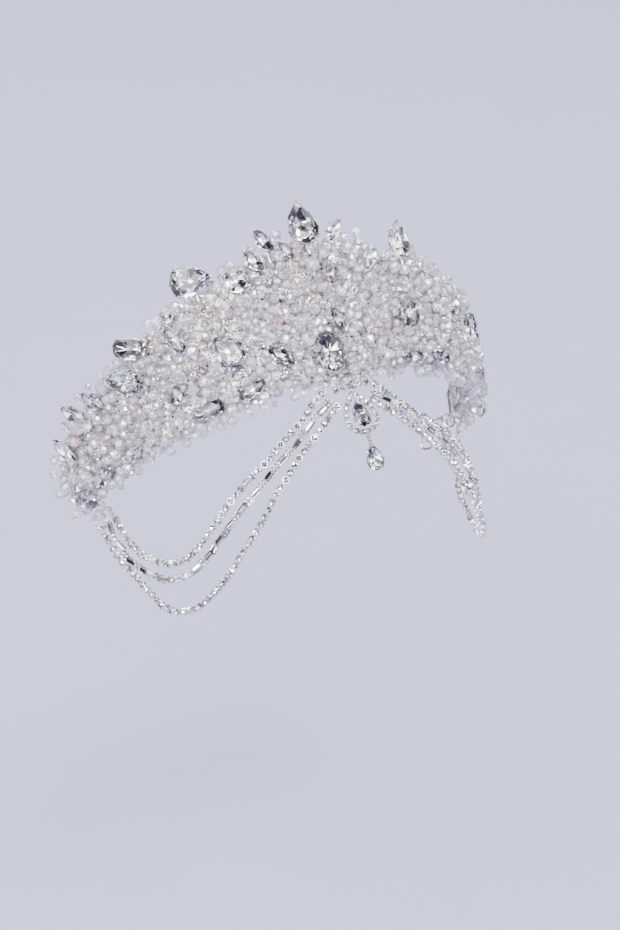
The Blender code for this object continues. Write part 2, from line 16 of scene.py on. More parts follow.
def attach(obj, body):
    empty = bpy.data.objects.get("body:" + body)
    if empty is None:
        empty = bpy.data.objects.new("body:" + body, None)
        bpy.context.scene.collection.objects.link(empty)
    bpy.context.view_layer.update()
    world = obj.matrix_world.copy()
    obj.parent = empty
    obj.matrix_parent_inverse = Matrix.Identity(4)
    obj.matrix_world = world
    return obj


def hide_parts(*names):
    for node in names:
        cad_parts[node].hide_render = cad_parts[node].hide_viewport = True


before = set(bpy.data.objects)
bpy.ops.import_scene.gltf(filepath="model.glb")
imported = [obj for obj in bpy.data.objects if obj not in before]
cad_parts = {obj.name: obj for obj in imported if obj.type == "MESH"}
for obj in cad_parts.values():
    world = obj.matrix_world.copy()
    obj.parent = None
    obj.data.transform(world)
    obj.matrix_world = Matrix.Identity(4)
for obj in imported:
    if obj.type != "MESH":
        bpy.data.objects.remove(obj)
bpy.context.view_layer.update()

bl_info = {
    "name": "Bridal headpiece",
    "version": (1, 0, 0),
    "blender": (4, 5, 0),
    "location": "View3D > Sidebar > Headpiece",
    "description": "Glass beads, cut stones, chains and studio of a bridal headpiece",
    "category": "Object",
}

MM = 0.001

# Rim and crest of the crown
RIM_HALF_WIDTH_MM = 87.2
RIM_DEPTH_MM = 90.0
RIM_FALL = math.radians(47.9)
RIM_END_DEG = 86.0
LEAN_FRONT_DEG = 5.0
LEAN_END_DEG = 17.0
LOWER_RAIL_UP_MM = 1.0
UPPER_RAIL_SHARE = 0.6
RAIL_OUT_MM = 0.6
END_BEADS_DEG = 68.0
BAND_WIRE_MM = 1.2
FIELD_IN_MM = 1.6
FIELD_OUT_MM = 9.4
STONE_BACK_MM = 9.7
STEM_HOLD_MM = 8.0
STONE_LEAST_DEPTH_MM = 1.1
STONE_DEPTH_SHARE = 0.34
GROUND_DEPTH_MM = 2.3
GROUND_INSIDE_MM = 1.6
WRAP_END_DEG = 82
WRAP_SIDES = 6
BICONE_UNDER_MM = 3.3
# Outward direction below which a place of the bead field is on the crown's inside
INSIDE_TURN = -0.5

# Height of the bead field above the rim: degrees (+ is the wearer's left), height
CREST = (
    (-86, 18), (-75, 27), (-60, 34), (-41, 42.5), (-36, 46.5), (-27, 50),
    (-17, 53), (-11, 56.5), (-3, 59), (5, 57.5), (13, 55), (18, 49.5),
    (26, 48), (38, 44.5), (50, 40), (60, 34), (75, 27), (86, 18),
)

# Cut stones: name, cut, length, width, degrees, up, turn of the tip towards the wearer's left, stem
STONES = (
    ("crest_pear_centre", "pear", 18.5, 14.2, 0.0, 63.0, 3, True),
    ("crest_pear_left", "pear", 17.5, 13.0, 25.3, 52.5, 15, True),
    ("crest_pear_right", "pear", 17.5, 14.2, -28.2, 53.0, 100, True),
    ("brow_oval", "oval", 18.0, 13.0, -4.0, 7.4, 8, False),
    ("side_pear_left", "pear", 15.5, 10.5, 21.9, 19.2, 38, False),
    ("side_pear_right", "pear", 17.0, 13.5, -26.3, 20.6, -28, False),
    ("flank_pear_left", "pear", 17.5, 11.4, 54.0, 24.0, 57, False),
    ("flank_pear_right", "pear", 17.5, 11.4, -51.2, 28.8, -57, False),
    ("flank_oval_right", "oval", 16.0, 9.8, -46.4, 39.0, -62, False),
    ("crest_marquise_left", "marquise", 13.0, 6.5, 7.6, 58.0, 50, True),
    ("crest_marquise_right", "marquise", 12.5, 6.8, -9.9, 59.0, -19, True),
    ("crest_marquise_small", "marquise", 10.0, 5.2, -5.4, 52.4, -23, False),
    ("upper_marquise_right", "marquise", 12.5, 6.5, -13.6, 52.0, -25, False),
    ("upper_disc_right", "round", 10.5, 10.5, -19.0, 46.4, 0, False),
    ("upper_marquise_left", "marquise", 10.5, 6.0, 15.4, 44.6, 45, False),
    ("middle_marquise", "marquise", 10.0, 5.0, 2.9, 39.5, 12, False),
    ("brow_marquise", "marquise", 12.0, 6.0, 0.9, 20.0, -8, False),
    ("lower_marquise_right", "marquise", 13.5, 6.4, -15.1, 11.4, -42, False),
    ("side_marquise_right", "marquise", 14.5, 6.8, -36.4, 33.6, -17, False),
    ("side_small_right", "marquise", 9.5, 5.6, -41.1, 13.2, 28, False),
    ("side_marquise_left", "marquise", 13.0, 6.5, 44.6, 27.0, 40, False),
    ("crest_round_right", "round", 6.2, 6.2, -36.0, 44.0, 0, False),
    ("outer_marquise_left", "marquise", 13.5, 6.6, 63.0, 28.5, 40, False),
    ("outer_marquise_right", "marquise", 13.5, 6.6, -60.4, 29.0, -34, False),
    ("ear_marquise_left", "marquise", 14.0, 7.2, 69.5, 27.6, 42, True),
    ("ear_marquise_right", "marquise", 14.0, 7.2, -66.9, 30.0, -42, True),
    ("end_marquise_left", "marquise", 14.5, 7.4, 75.8, 19.4, 22, False),
    ("end_marquise_right", "marquise", 14.5, 7.4, -74.8, 20.6, -22, False),
    ("rim_marquise_left", "marquise", 13.0, 6.8, 19.0, 0.0, 96, False),
    ("rim_marquise_right", "marquise", 14.0, 7.0, -24.2, 2.4, 78, False),
    ("rim_pear_left", "pear", 13.0, 7.4, 29.6, 0.0, 100, False),
    ("rim_pear_right", "pear", 15.5, 7.4, -35.6, 1.8, -90, False),
    ("rim_small_left", "marquise", 10.5, 6.2, 57.3, 1.4, -84, False),
    ("rim_small_right", "marquise", 10.5, 6.2, -57.3, 1.4, 84, False),
    ("rim_end_left", "marquise", 14.0, 7.2, 68.4, 1.2, -80, False),
    ("rim_end_right", "marquise", 14.0, 7.2, -68.4, 1.2, 80, False),
    ("end_round_left", "round", 5.6, 5.6, 81.6, 3.4, 0, False),
    ("end_round_right", "round", 5.6, 5.6, -81.6, 3.4, 0, False),
    ("end_oval_left", "oval", 9.4, 8.4, 76.8, -1.6, 30, False),
    ("end_oval_right", "oval", 9.4, 8.4, -76.8, -1.6, -30, False),
)

# Groups that stones go to by the first word of their name, where it isn't that word's own
STONE_GROUPS = {
    "upper": "crest",
    "middle": "front",
    "brow": "front",
    "lower": "front",
    "outer": "ear",
    "end": "ear",
}

# Where the claws of a setting stand, as turns round its outline from the tip
CLAW_TURNS = {
    "pear": (0.0, 1.15, 2.35, -2.35, -1.15),
    "marquise": (0.0, math.pi, 1.35, -1.35),
    "oval": (0.75, 2.4, -2.4, -0.75),
    "round": (0.8, 2.4, -2.4, -0.8),
}

# Small flowers of tiny stones among the beads: degrees, up
FLOWERS = (
    (-9.8, 36.1), (-24.9, 31.0), (-17.5, 19.4), (-24.2, 10.4), (-34.5, 18.0), (-16.2, 4.7),
    (7.3, 33.8), (15.5, 26.7), (8.4, 14.0), (15.5, 7.6), (32.2, 38.0), (31.6, 9.6),
    (-46.0, 14.0), (-57.0, 10.9), (-66.6, 10.6), (-43.4, 25.0), (-3.7, 29.8), (43.0, 13.0),
    (36.0, 24.0), (55.0, 12.0), (66.0, 12.0), (28.0, 30.0), (-28.0, 39.0), (5.0, 46.0),
    (-12.0, 43.6),
)

# The pendant's line, downwards from the cluster, as places (x, y, z)
BROW_LINE = (
    (0, -4.9, -1.7), (0, -8.4, -3.9), (-0.8, -12.0, -6.2), (-1.3, -18.0, -10.9),
    (-1.6, -24.2, -17.0), (-1.8, -29.4, -23.4), (-2.0, -33.4, -29.6),
)
CLUSTER_START_MM = 0.6
CLUSTER_STONES = 5
CLUSTER_STONE_MM = 3.3
CLUSTER_PLATE_MM = 0.9
CLUSTER_GAP_MM = 0.1
CLUSTER_CUP_MM = 1.5
# More round stones soldered round that row: across, towards the crown, lift, diameter
CLUSTER_EXTRAS = (
    (-5.6, 3.0, 2.8, 4.0), (-1.4, 3.0, 2.8, 4.2), (2.6, 2.8, 2.2, 3.0), (5.8, 2.6, 2.0, 3.0),
    (-8.6, 1.6, 1.8, 2.8), (-7.2, -2.4, 1.4, 2.8), (-4.3, -2.6, 1.6, 2.6), (-1.6, -2.8, 1.8, 2.4),
    (1.2, -2.8, 1.8, 2.4), (4.2, -2.4, 1.4, 2.6), (7.4, -2.0, 1.2, 2.8), (-0.8, -5.0, 1.9, 2.2),
)
HANGER_WIRE_MM = 1.1
HANGER_LIFT_MM = 1.2
HALO_WIRE_MM = 2.4
HALO_LENGTH_MM = 17.3
HALO_WIDTH_MM = 13.2
HALO_START_MM = 6.0
HALO_STONES = 18
HALO_RING_MM = 0.9
UPPER_DROP_MM = (12.0, 8.2)
UPPER_DROP_START_MM = 9.5
LOWER_DROP_MM = (11.6, 8.2)
DROP_BACK_MM = 0.3
EYELET_MM = 0.85
EYELET_WIRE_MM = 0.55
LINK_MM = 1.28
DROP_OVERLAP_MM = 0.5
BAIL_MM = 2.4
BROW_LIFT_MM = 1.5
BROW_STEP_MM = 0.5
BROW_STONE_MM = 3.4
CHAIN_WIDTH_MM = 3.2

CHAIN_RING_MM = 3.2
CHAIN_RING_WIRE_MM = 0.9
CHAIN_RING_DEG = 86.4
CHAIN_SPREAD_MM = 4.2
CHAIN_LEAD_MM = 5.0
CHAIN_GAP_MM = 0.3
LEFT_SAG_MM = 3.8
SAG_START_MM = 10.5
SAG_END_MM = 76.0
ROUTE_STEP_MM = 0.25
END_BEAD_MM = 2.6

# Middle and half sizes of the rounding that the chains follow, for which way their stones face
WEAR_CENTRE_MM = (0, 46.6, -98.6)
WEAR_HALF_MM = (79, 96.4, 110.1)

# Drape chains of one side, from the cluster towards their ring, as places (x, y, z)
DRAPES = {
    "upper": (
        (10.3, -6.1, -2.6), (16, -7.4, -5.2), (23, -10.6, -10.6), (32, -12.0, -16.8),
        (39, -12.4, -23.2), (48, -10.0, -32.6), (56, -7.0, -43.4), (61, -4.6, -52.6),
        (66, -1.8, -61.2), (70, 4.4, -69.6), (74, 13.0, -74.4), (77, 24.0, -76.8),
        (78.6, 34.0, -76.8), (79.6, 41.5, -74.4),
    ),
    "middle": (
        (9.1, -8.9, -5.2), (16, -12.0, -8.4), (23, -14.4, -12.8), (29, -15.6, -18.2),
        (36, -15.8, -24.0), (43, -15.2, -31.4), (51, -13.2, -41.6), (58, -10.0, -52.4),
        (64, -5.6, -64.4), (69, 0.6, -74.0), (73.5, 9.0, -80.0), (77, 19.0, -82.8),
        (79.4, 29.0, -82.8), (82, 38.0, -80.0),
    ),
    "lower": (
        (6.2, -10.6, -6.9), (13, -14.4, -10.0), (21, -17.6, -15.4), (28, -19.2, -20.8),
        (35, -20.4, -28.4), (42, -20.8, -37.6), (48, -20.6, -47.8), (54, -18.6, -58.4),
        (60, -15.2, -70.4), (65, -10.4, -80.2), (70, -2.4, -89.6), (75, 9.6, -94.4),
        (77.5, 20.0, -92.6), (80, 32.0, -88.4), (83.4, 40.6, -83.6), (85.6, 45.0, -77.6),
    ),
}

# Camera and studio
CAMERA_MM = (-395.8, -709.8, 365.2)
TARGET_MM = (10.9, 46.6, -63.9)
CAMERA_LENS_MM = 85.0
FLOOR_Z_MM = -350.0
FLOOR_RADIUS_MM = 9000.0
# Lamps, in metres: name, place, target, width, power as a share of the key lamp's
LAMPS = (
    ("key_softbox", (-0.75, -0.70, 1.05), (0, 0.03, -0.02), 0.8, 1.0),
    ("fill_softbox", (1.05, -0.45, 0.60), (0, 0.03, -0.02), 0.60, 0.45),
    ("back_softbox", (0.25, 1.10, 0.85), (0, 0.03, -0.02), 0.70, 0.55),
    ("floor_wash", (0.10, 3.00, 1.40), (0, 2.43, -0.02), 1.2, 0.9),
)
# Softboxes that the stones reflect: heading, radius in degrees, share of the softbox light
SOFTBOXES = (
    ((-0.60, -0.45, 0.66), 26, 1.0),
    ((0.80, -0.30, 0.52), 18, 0.9),
    ((0.10, 0.72, 0.68), 21, 0.9),
    ((-0.25, -0.93, 0.27), 6, 6.5),
    ((-0.95, 0.25, 0.20), 6, 6.0),
    ((0.35, -0.85, 0.40), 5, 8.0),
    ((-0.05, -0.55, 0.85), 6, 8.0),
    ((-0.85, -0.55, 0.15), 5, 8.0),
    ((0.70, 0.35, 0.65), 6, 7.0),
)

Shape = namedtuple("Shape", "points triangles finishes")
BEAD, GLASS, FOIL, SILVER, WIRE, MESH = range(6)
SIDES = ((1, "left"), (-1, "right"))
# Tint of all that has no coat of its own, and of the beads that end a chain
PLAIN_TINT = 0.5
END_BEAD_TINT = 0.1


# Colours and material nodes


def linear(code):
    """A hex sRGB colour as linear red, green and blue."""
    parts = [int(code[i : i + 2], 16) / 255 for i in (1, 3, 5)]
    return tuple(c / 12.92 if c <= 0.04045 else ((c + 0.055) / 1.055) ** 2.4 for c in parts)


def add_node(tree, kind, settings=None, links=None, stops=(), output=0):
    """Adds a node with its settings, links and ramp stops, and gives back one of its outputs."""
    node = tree.nodes.new(f"ShaderNode{kind}")
    for key, value in (settings or {}).items():
        if isinstance(key, str) and hasattr(node, key):
            setattr(node, key, value)
        else:
            node.inputs[key].default_value = value
    for key, source in (links or {}).items():
        tree.links.new(source, node.inputs[key])
    for place, _ in stops[2:]:
        node.color_ramp.elements.new(place)
    for k, (place, colour) in enumerate(stops):
        node.color_ramp.elements[k].position = place
        node.color_ramp.elements[k].color = (*colour, 1.0)
    return node.outputs[output] if node.outputs else None


def lumps(size_mm, detail=3.0):
    """Settings of a noise whose lumps are about size_mm across."""
    return {"Scale": 1000 / size_mm, "Detail": detail}


def relief(depth_mm, strength):
    """Settings of a bump of a real depth."""
    return {"Distance": depth_mm * MM, "Strength": strength}


def material(name, surface, settings):
    """A material whose shader has the values and links that surface gives for object coordinates."""
    mat = bpy.data.materials.new(name)
    mat.use_nodes = True
    tree = mat.node_tree
    tree.nodes.clear()
    place = {"Vector": add_node(tree, "TexCoord", output="Object")}
    shader = add_node(tree, "BsdfPrincipled", *surface(tree, place, settings))
    add_node(tree, "OutputMaterial", links={"Surface": shader})
    return mat


def bead_glass(tree, place, settings):
    """Fire polished glass: clear, with a faint rainbow coat on some beads, and painted shade that
    darkens some facets at random, standing in for the light inside that turns back or passes."""
    tint = add_node(tree, "Attribute", {"attribute_name": "tint"}, output="Fac")
    coats = (
        (0.0, settings.clear),
        (0.80, settings.clear),
        (0.86, settings.blush),
        (0.91, settings.peach),
        (0.955, settings.ice),
        (1.0, settings.clear),
    )
    coat = add_node(tree, "ValToRGB", links={"Fac": tint}, stops=coats)
    # Painted shade: each facet's random value darkens some facets towards the dim facet colour.
    facet = add_node(tree, "Attribute", {"attribute_name": "facet"}, output="Fac")
    painted_facet_shades = ((0.0, settings.painted_facet_shade), (0.45, settings.clear))
    # depth is the painted shade of each facet, not a real depth; it darkens the coat colour.
    depth = add_node(tree, "ValToRGB", links={"Fac": facet}, stops=painted_facet_shades)
    colour = add_node(tree, "VectorMath", {"operation": "MULTIPLY"}, {0: coat, 1: depth})
    smears = add_node(tree, "TexNoise", lumps(2.4), place)
    spread = {"From Min": 0.3, "From Max": 0.75, "To Min": 0.0, "To Max": 0.07}
    rough = add_node(tree, "MapRange", spread, {"Value": smears})
    waves = add_node(tree, "TexNoise", lumps(0.9), place)
    bump = add_node(tree, "Bump", relief(0.02, 0.2), {"Height": waves})
    values = {
        "IOR": settings.ior,
        "Transmission Weight": settings.clearness,
        "Coat Weight": 1.0,
        "Coat IOR": 1.9,
        "Coat Roughness": 0.02,
    }
    return values, {"Base Color": colour, "Roughness": rough, "Normal": bump}


def stone_glass(tree, place, settings):
    """Machine cut rhinestone glass: water clear with sharp polished facets."""
    smears = add_node(tree, "TexNoise", lumps(3.0), place)
    rough = add_node(tree, "MapRange", {"To Min": 0.0, "To Max": 0.03}, {"Value": smears})
    values = {
        "Base Color": (*settings.glass, 1.0),
        "IOR": settings.ior,
        "Specular IOR Level": 0.3,
        "Transmission Weight": 1.0,
    }
    return values, {"Roughness": rough}


def mirror_foil(tree, place, settings):
    """Vacuum silvered back of a rhinestone: bright silver facets beside facets with painted shade, dark
    and grey, and painted reflections, blue and brown.
    """
    # Each facet's random value picks its tone: painted shade, the bright foil, or a painted reflection.
    facet = add_node(tree, "Attribute", {"attribute_name": "facet"}, output="Fac")
    tones = (
        (0.0, settings.foil_painted_dark_shade),
        (0.17, settings.foil_painted_grey_shade),
        (0.36, settings.foil),
        (0.88, settings.foil_painted_blue_reflection),
        (0.95, settings.foil_painted_brown_reflection),
    )
    colour = add_node(tree, "ValToRGB", links={"Fac": facet}, stops=tones)
    colour.node.color_ramp.interpolation = "CONSTANT"
    waves = add_node(tree, "TexNoise", lumps(1.5), place)
    bump = add_node(tree, "Bump", relief(0.02, 0.12), {"Height": waves})
    return {"Metallic": 1.0, "Roughness": 0.03}, {"Base Color": colour, "Normal": bump}


def plated_metal(tree, place, settings):
    """Silver plated brass: bright where it is handled, duller and browner in the hollows."""
    bright, dull, low_rough, high_rough = settings
    wear = add_node(tree, "TexNoise", lumps(3.5, 4.0), place)
    colour = add_node(tree, "ValToRGB", links={"Fac": wear}, stops=((0.36, dull), (0.56, bright)))
    spread = {"From Min": 0.35, "From Max": 0.65, "To Min": high_rough, "To Max": low_rough}
    rough = add_node(tree, "MapRange", spread, {"Value": wear})
    dents = add_node(tree, "TexNoise", lumps(0.5), place)
    bump = add_node(tree, "Bump", relief(0.03, 0.3), {"Height": dents})
    return {"Metallic": 1.0}, {"Base Color": colour, "Roughness": rough, "Normal": bump}


def sewing_mesh(tree, place, settings):
    """Silvered brass mesh under the beads, drawn at 1.5 mm: bright wires, painted shade in the holes."""
    cells = {"feature": "DISTANCE_TO_EDGE", "Scale": 1000 / 1.5, "Randomness": 1.0}
    edge = add_node(tree, "TexVoronoi", cells, place)
    # The mesh has no real holes: the dull and dark stops paint shade into the middle of each cell.
    tones = ((0.08, settings.mesh), (0.20, settings.dull), (0.34, settings.painted_hole_shade))
    colour = add_node(tree, "ValToRGB", links={"Fac": edge}, stops=tones)
    folds = add_node(tree, "TexNoise", lumps(1.6), place)
    bump = add_node(tree, "Bump", relief(0.5, 0.8), {"Height": folds})
    return {"Metallic": 0.7, "Roughness": 0.30}, {"Base Color": colour, "Normal": bump}


def floor_paper(tree, place, settings):
    """Seamless matt paper with a faint fibre."""
    fibre = add_node(tree, "TexNoise", lumps(60.0, 6.0), place)
    darker = tuple(c * 0.985 for c in settings.floor)
    tones = ((0.3, darker), (0.7, settings.floor))
    colour = add_node(tree, "ValToRGB", links={"Fac": fibre}, stops=tones)
    return {"Roughness": 0.95, "Specular IOR Level": 0.1}, {"Base Color": colour}


def palette():
    """The finishes in their numbers' order, made the first time they are asked for."""
    scene = bpy.context.scene
    metal = scene.headpiece_metal
    finishes = {
        "fire polished glass": (bead_glass, scene.headpiece_beads),
        "machine cut rhinestone glass": (stone_glass, scene.headpiece_stones),
        "vacuum silvered foil": (mirror_foil, scene.headpiece_stones),
        "silver plated brass": (plated_metal, (metal.bright, metal.dull, 0.12, 0.32)),
        "tarnished beading wire": (plated_metal, (metal.wire, metal.tarnish, 0.28, 0.55)),
        "silvered sewing mesh": (sewing_mesh, metal),
    }
    return [bpy.data.materials.get(name) or material(name, *how) for name, how in finishes.items()]


# The crown's surface


def crest_height(degrees):
    return float(np.interp(degrees, *zip(*CREST)))


def rim_axes(degrees):
    """Rim point and the side, up and out directions of the crown there, in millimetres."""
    angle = math.radians(degrees)
    back = Vector((0, math.cos(RIM_FALL), -math.sin(RIM_FALL)))
    rise = Vector((0, math.sin(RIM_FALL), math.cos(RIM_FALL)))
    across = Vector((1, 0, 0))
    sine, cosine = math.sin(angle), math.cos(angle)
    point = across * (RIM_HALF_WIDTH_MM * sine) + back * (RIM_DEPTH_MM * (1 - cosine))
    away = across * (RIM_DEPTH_MM * sine) - back * (RIM_HALF_WIDTH_MM * cosine)
    away.normalize()
    share = (abs(degrees) / RIM_END_DEG) ** 1.5
    lean = math.radians(LEAN_FRONT_DEG + (LEAN_END_DEG - LEAN_FRONT_DEG) * share)
    up = rise * math.cos(lean) + away * math.sin(lean)
    out = away * math.cos(lean) - rise * math.sin(lean)
    return point, up.cross(out).normalized(), up, out


def crown_place(degrees, up_mm, out_mm):
    point, _, up, out = rim_axes(degrees)
    return (point + up * up_mm + out * out_mm) * MM


def frame_at(place, across, along, out):
    matrix = Matrix((across, along, out)).transposed().to_4x4()
    matrix.translation = place
    return matrix


def crown_frame(degrees, up_mm, out_mm, turn_deg):
    """Frame on the crown whose second axis is a stone's length, turned from up."""
    point, side, up, out = rim_axes(degrees)
    angle = math.radians(turn_deg)
    along = up * math.cos(angle) + side * math.sin(angle)
    across = side * math.cos(angle) - up * math.sin(angle)
    return frame_at((point + up * up_mm + out * out_mm) * MM, across, along, out)


def field_section(degrees):
    """Section of the bead field at an angle: up and out, from its lower inner edge round the outside."""
    top = crest_height(degrees)
    return np.array(
        (
            (-1.0, FIELD_IN_MM + 0.4),
            (-3.2, 4.6),
            (-2.4, 7.8),
            (1.6, FIELD_OUT_MM),
            (top * 0.5, FIELD_OUT_MM),
            (top - 6.0, FIELD_OUT_MM),
            (top - 1.6, 8.2),
            (top, 5.4),
            (top - 1.4, 2.8),
            (top - 6.0, FIELD_IN_MM),
            (top * 0.5, FIELD_IN_MM),
            (-1.0, FIELD_IN_MM + 0.4),
        )
    )


def section_walk(degrees, share):
    """Place (up, out) and outward direction at a share of the way round the section."""
    section = field_section(degrees)
    steps = np.linalg.norm(np.diff(section, axis=0), axis=1)
    walked = np.concatenate(([0], np.cumsum(steps)))
    target = share * walked[-1]
    k = min(int(np.searchsorted(walked, target, side="right")) - 1, len(steps) - 1)
    t = (target - walked[k]) / steps[k]
    place = section[k] * (1 - t) + section[k + 1] * t
    along = (section[k + 1] - section[k]) / steps[k]
    return place, np.array((-along[1], along[0]))


def outside_of(degrees, up_mm, stone, reach):
    """Above 1 where a place is outside a stone's outline grown by reach."""
    _, _, length, width, centre, up, tip_turn, _ = stone
    across = (degrees - centre) * math.radians(RIM_HALF_WIDTH_MM + FIELD_OUT_MM)
    rise = up_mm - up
    angle = math.radians(tip_turn)
    along = rise * math.cos(angle) + across * math.sin(angle)
    beside = across * math.cos(angle) - rise * math.sin(angle)
    return (along / (length / 2 + reach)) ** 2 + (beside / (width / 2 + reach)) ** 2


# Routes


def smooth_route(points, spacing):
    """Evenly spaced points on a Catmull-Rom curve through the given ones."""
    points = [Vector(p) for p in points]
    ends = [2 * points[0] - points[1], *points, 2 * points[-1] - points[-2]]
    fine = []
    steps = 12
    for a, b, c, d in zip(ends, ends[1:], ends[2:], ends[3:]):
        for i in range(steps):
            t = i / steps
            square = (2 * a - 5 * b + 4 * c - d) * t**2
            cube = (3 * b - a - 3 * c + d) * t**3
            fine.append(0.5 * (2 * b + (c - a) * t + square + cube))
    fine.append(points[-1])
    along = [0.0]
    for a, b in zip(fine, fine[1:]):
        along.append(along[-1] + (b - a).length)
    count = max(2, round(along[-1] / spacing))
    route = []
    k = 0
    for i in range(count + 1):
        target = along[-1] * i / count
        while k < len(along) - 2 and along[k + 1] < target:
            k += 1
        span = along[k + 1] - along[k]
        route.append(fine[k].lerp(fine[k + 1], (target - along[k]) / span))
    return route


def brow_frame(along_mm, lift_mm):
    """Frame on the pendant's line: across, towards the crown, and out."""
    route = smooth_route(BROW_LINE, BROW_STEP_MM)
    walked = 0.0
    for a, b in zip(route, route[1:]):
        step = (b - a).length
        if walked + step >= along_mm:
            break
        walked += step
    down = (b - a).normalized()
    out = Vector((0, down.z, -down.y)).normalized()
    if out.y > 0:
        out = -out
    point = a + down * (along_mm - walked) + out * lift_mm
    return frame_at(point * MM, (-down).cross(out).normalized(), -down, out)


def outward(point_mm):
    """Which way a chain's stones face at a place."""
    offset = [(p - c) / h**2 for p, c, h in zip(point_mm, WEAR_CENTRE_MM, WEAR_HALF_MM)]
    return Vector(offset).normalized()


# Modelling


def deselect():
    if bpy.context.object and bpy.context.object.mode != "OBJECT":
        bpy.ops.object.mode_set(mode="OBJECT")
    bpy.ops.object.select_all(action="DESELECT")


def activate(obj):
    deselect()
    obj.select_set(True)
    bpy.context.view_layer.objects.active = obj


def primitive(add, stretch=(1, 1, 1), **settings):
    """A new primitive with its place and its stretch in its mesh, and nothing else selected."""
    deselect()
    add(**settings)
    bpy.context.object.scale = stretch
    bpy.ops.object.transform_apply(location=True, rotation=True, scale=True)
    return bpy.context.object


def pick(obj, kind, test):
    """Enters edit mode with only the faces (FACE) or points (VERT) selected that pass the test."""
    activate(obj)
    bpy.ops.object.mode_set(mode="EDIT")
    bpy.ops.mesh.select_mode(type=kind)
    bpy.ops.mesh.select_all(action="DESELECT")
    bpy.ops.object.mode_set(mode="OBJECT")
    for part in obj.data.polygons if kind == "FACE" else obj.data.vertices:
        part.select = bool(test(part))
    bpy.ops.object.mode_set(mode="EDIT")


def pick_end(obj, side=1):
    """Selects the flat face at the top, or at the bottom with -1, in edit mode."""
    pick(obj, "FACE", lambda face: face.normal.z * side > 0.9)


def turn_ring(obj, low, high, sides):
    """Turns the points between two heights half a facet about the Z axis."""
    pick(obj, "VERT", lambda point: low < point.co.z < high)
    bpy.ops.transform.rotate(value=math.pi / sides, orient_axis="Z", center_override=(0, 0, 0))


def grow_face(height, share):
    """Extrudes the selected face up by height and scales it about the Z axis."""
    bpy.ops.mesh.extrude_region_move(TRANSFORM_OT_translate={"value": (0, 0, height)})
    bpy.ops.transform.resize(value=(share, share, 1), center_override=(0, 0, 0))


def push_face(shift, scale):
    """Extrudes the selected face by a shift and scales it about its own middle."""
    bpy.ops.mesh.extrude_region_move(TRANSFORM_OT_translate={"value": shift})
    bpy.ops.transform.resize(value=scale)


def paint(obj, finish, test=None):
    """Gives faces a finish, a number of the palette."""
    deselect()
    for face in obj.data.polygons:
        if test is None or test(face):
            face.material_index = finish


def finish_shape(obj, finish=None):
    """Closes the modelling of a form: one finish if given, faces outwards, and triangles."""
    if finish is not None:
        paint(obj, finish)
    activate(obj)
    bpy.ops.object.transform_apply(location=True, rotation=True, scale=True)
    bpy.ops.object.mode_set(mode="EDIT")
    bpy.ops.mesh.select_all(action="SELECT")
    bpy.ops.mesh.normals_make_consistent(inside=False)
    bpy.ops.mesh.quads_convert_to_tris(quad_method="SHORTEST_DIAGONAL", ngon_method="BEAUTY")
    deselect()
    mesh = obj.data
    points = np.array([v.co for v in mesh.vertices])
    triangles = np.array([tuple(p.vertices) for p in mesh.polygons])
    finishes = np.array([p.material_index for p in mesh.polygons])
    bpy.data.objects.remove(obj, do_unlink=True)
    bpy.data.meshes.remove(mesh)
    return Shape(points, triangles, finishes)


def together(*shapes):
    """Several shapes as one."""
    start = np.cumsum([0] + [len(s.points) for s in shapes[:-1]])
    return Shape(
        np.concatenate([s.points for s in shapes]),
        np.concatenate([s.triangles + n for s, n in zip(shapes, start)]),
        np.concatenate([s.finishes for s in shapes]),
    )


def moved(shape, matrix):
    """A copy of a shape under a 4x4 matrix."""
    m = np.array(matrix)
    triangles = shape.triangles
    if np.linalg.det(m[:3, :3]) < 0:
        triangles = triangles[:, ::-1]
    return Shape(shape.points @ m[:3, :3].T + m[:3, 3], triangles, shape.finishes)


def shift(x, y, z):
    """The matrices that place copies: a shift, a turn about an axis, and a scale."""
    return Matrix.Translation((x, y, z))


def turn(radians, axis):
    return Matrix.Rotation(radians, 4, axis)


def scaled(share):
    return Matrix.Scale(share, 4)


# These values pick the painted shade of bead facets and the painted shade and reflections of foil
# facets.
def facet_values(shape, number):
    """A value from 0 to 1 for each facet of a copy, the same for the triangles that face one way."""
    a, b, c = (shape.points[shape.triangles[:, k]] for k in range(3))
    normals = np.cross(b - a, c - a)
    normals /= np.maximum(np.linalg.norm(normals, axis=1, keepdims=True), 1e-12)
    mixed = np.round(normals, 1) @ (12.9, 78.2, 37.7) + 9.1 * number
    return np.modf(np.abs(np.sin(mixed)) * 437.5)[0]


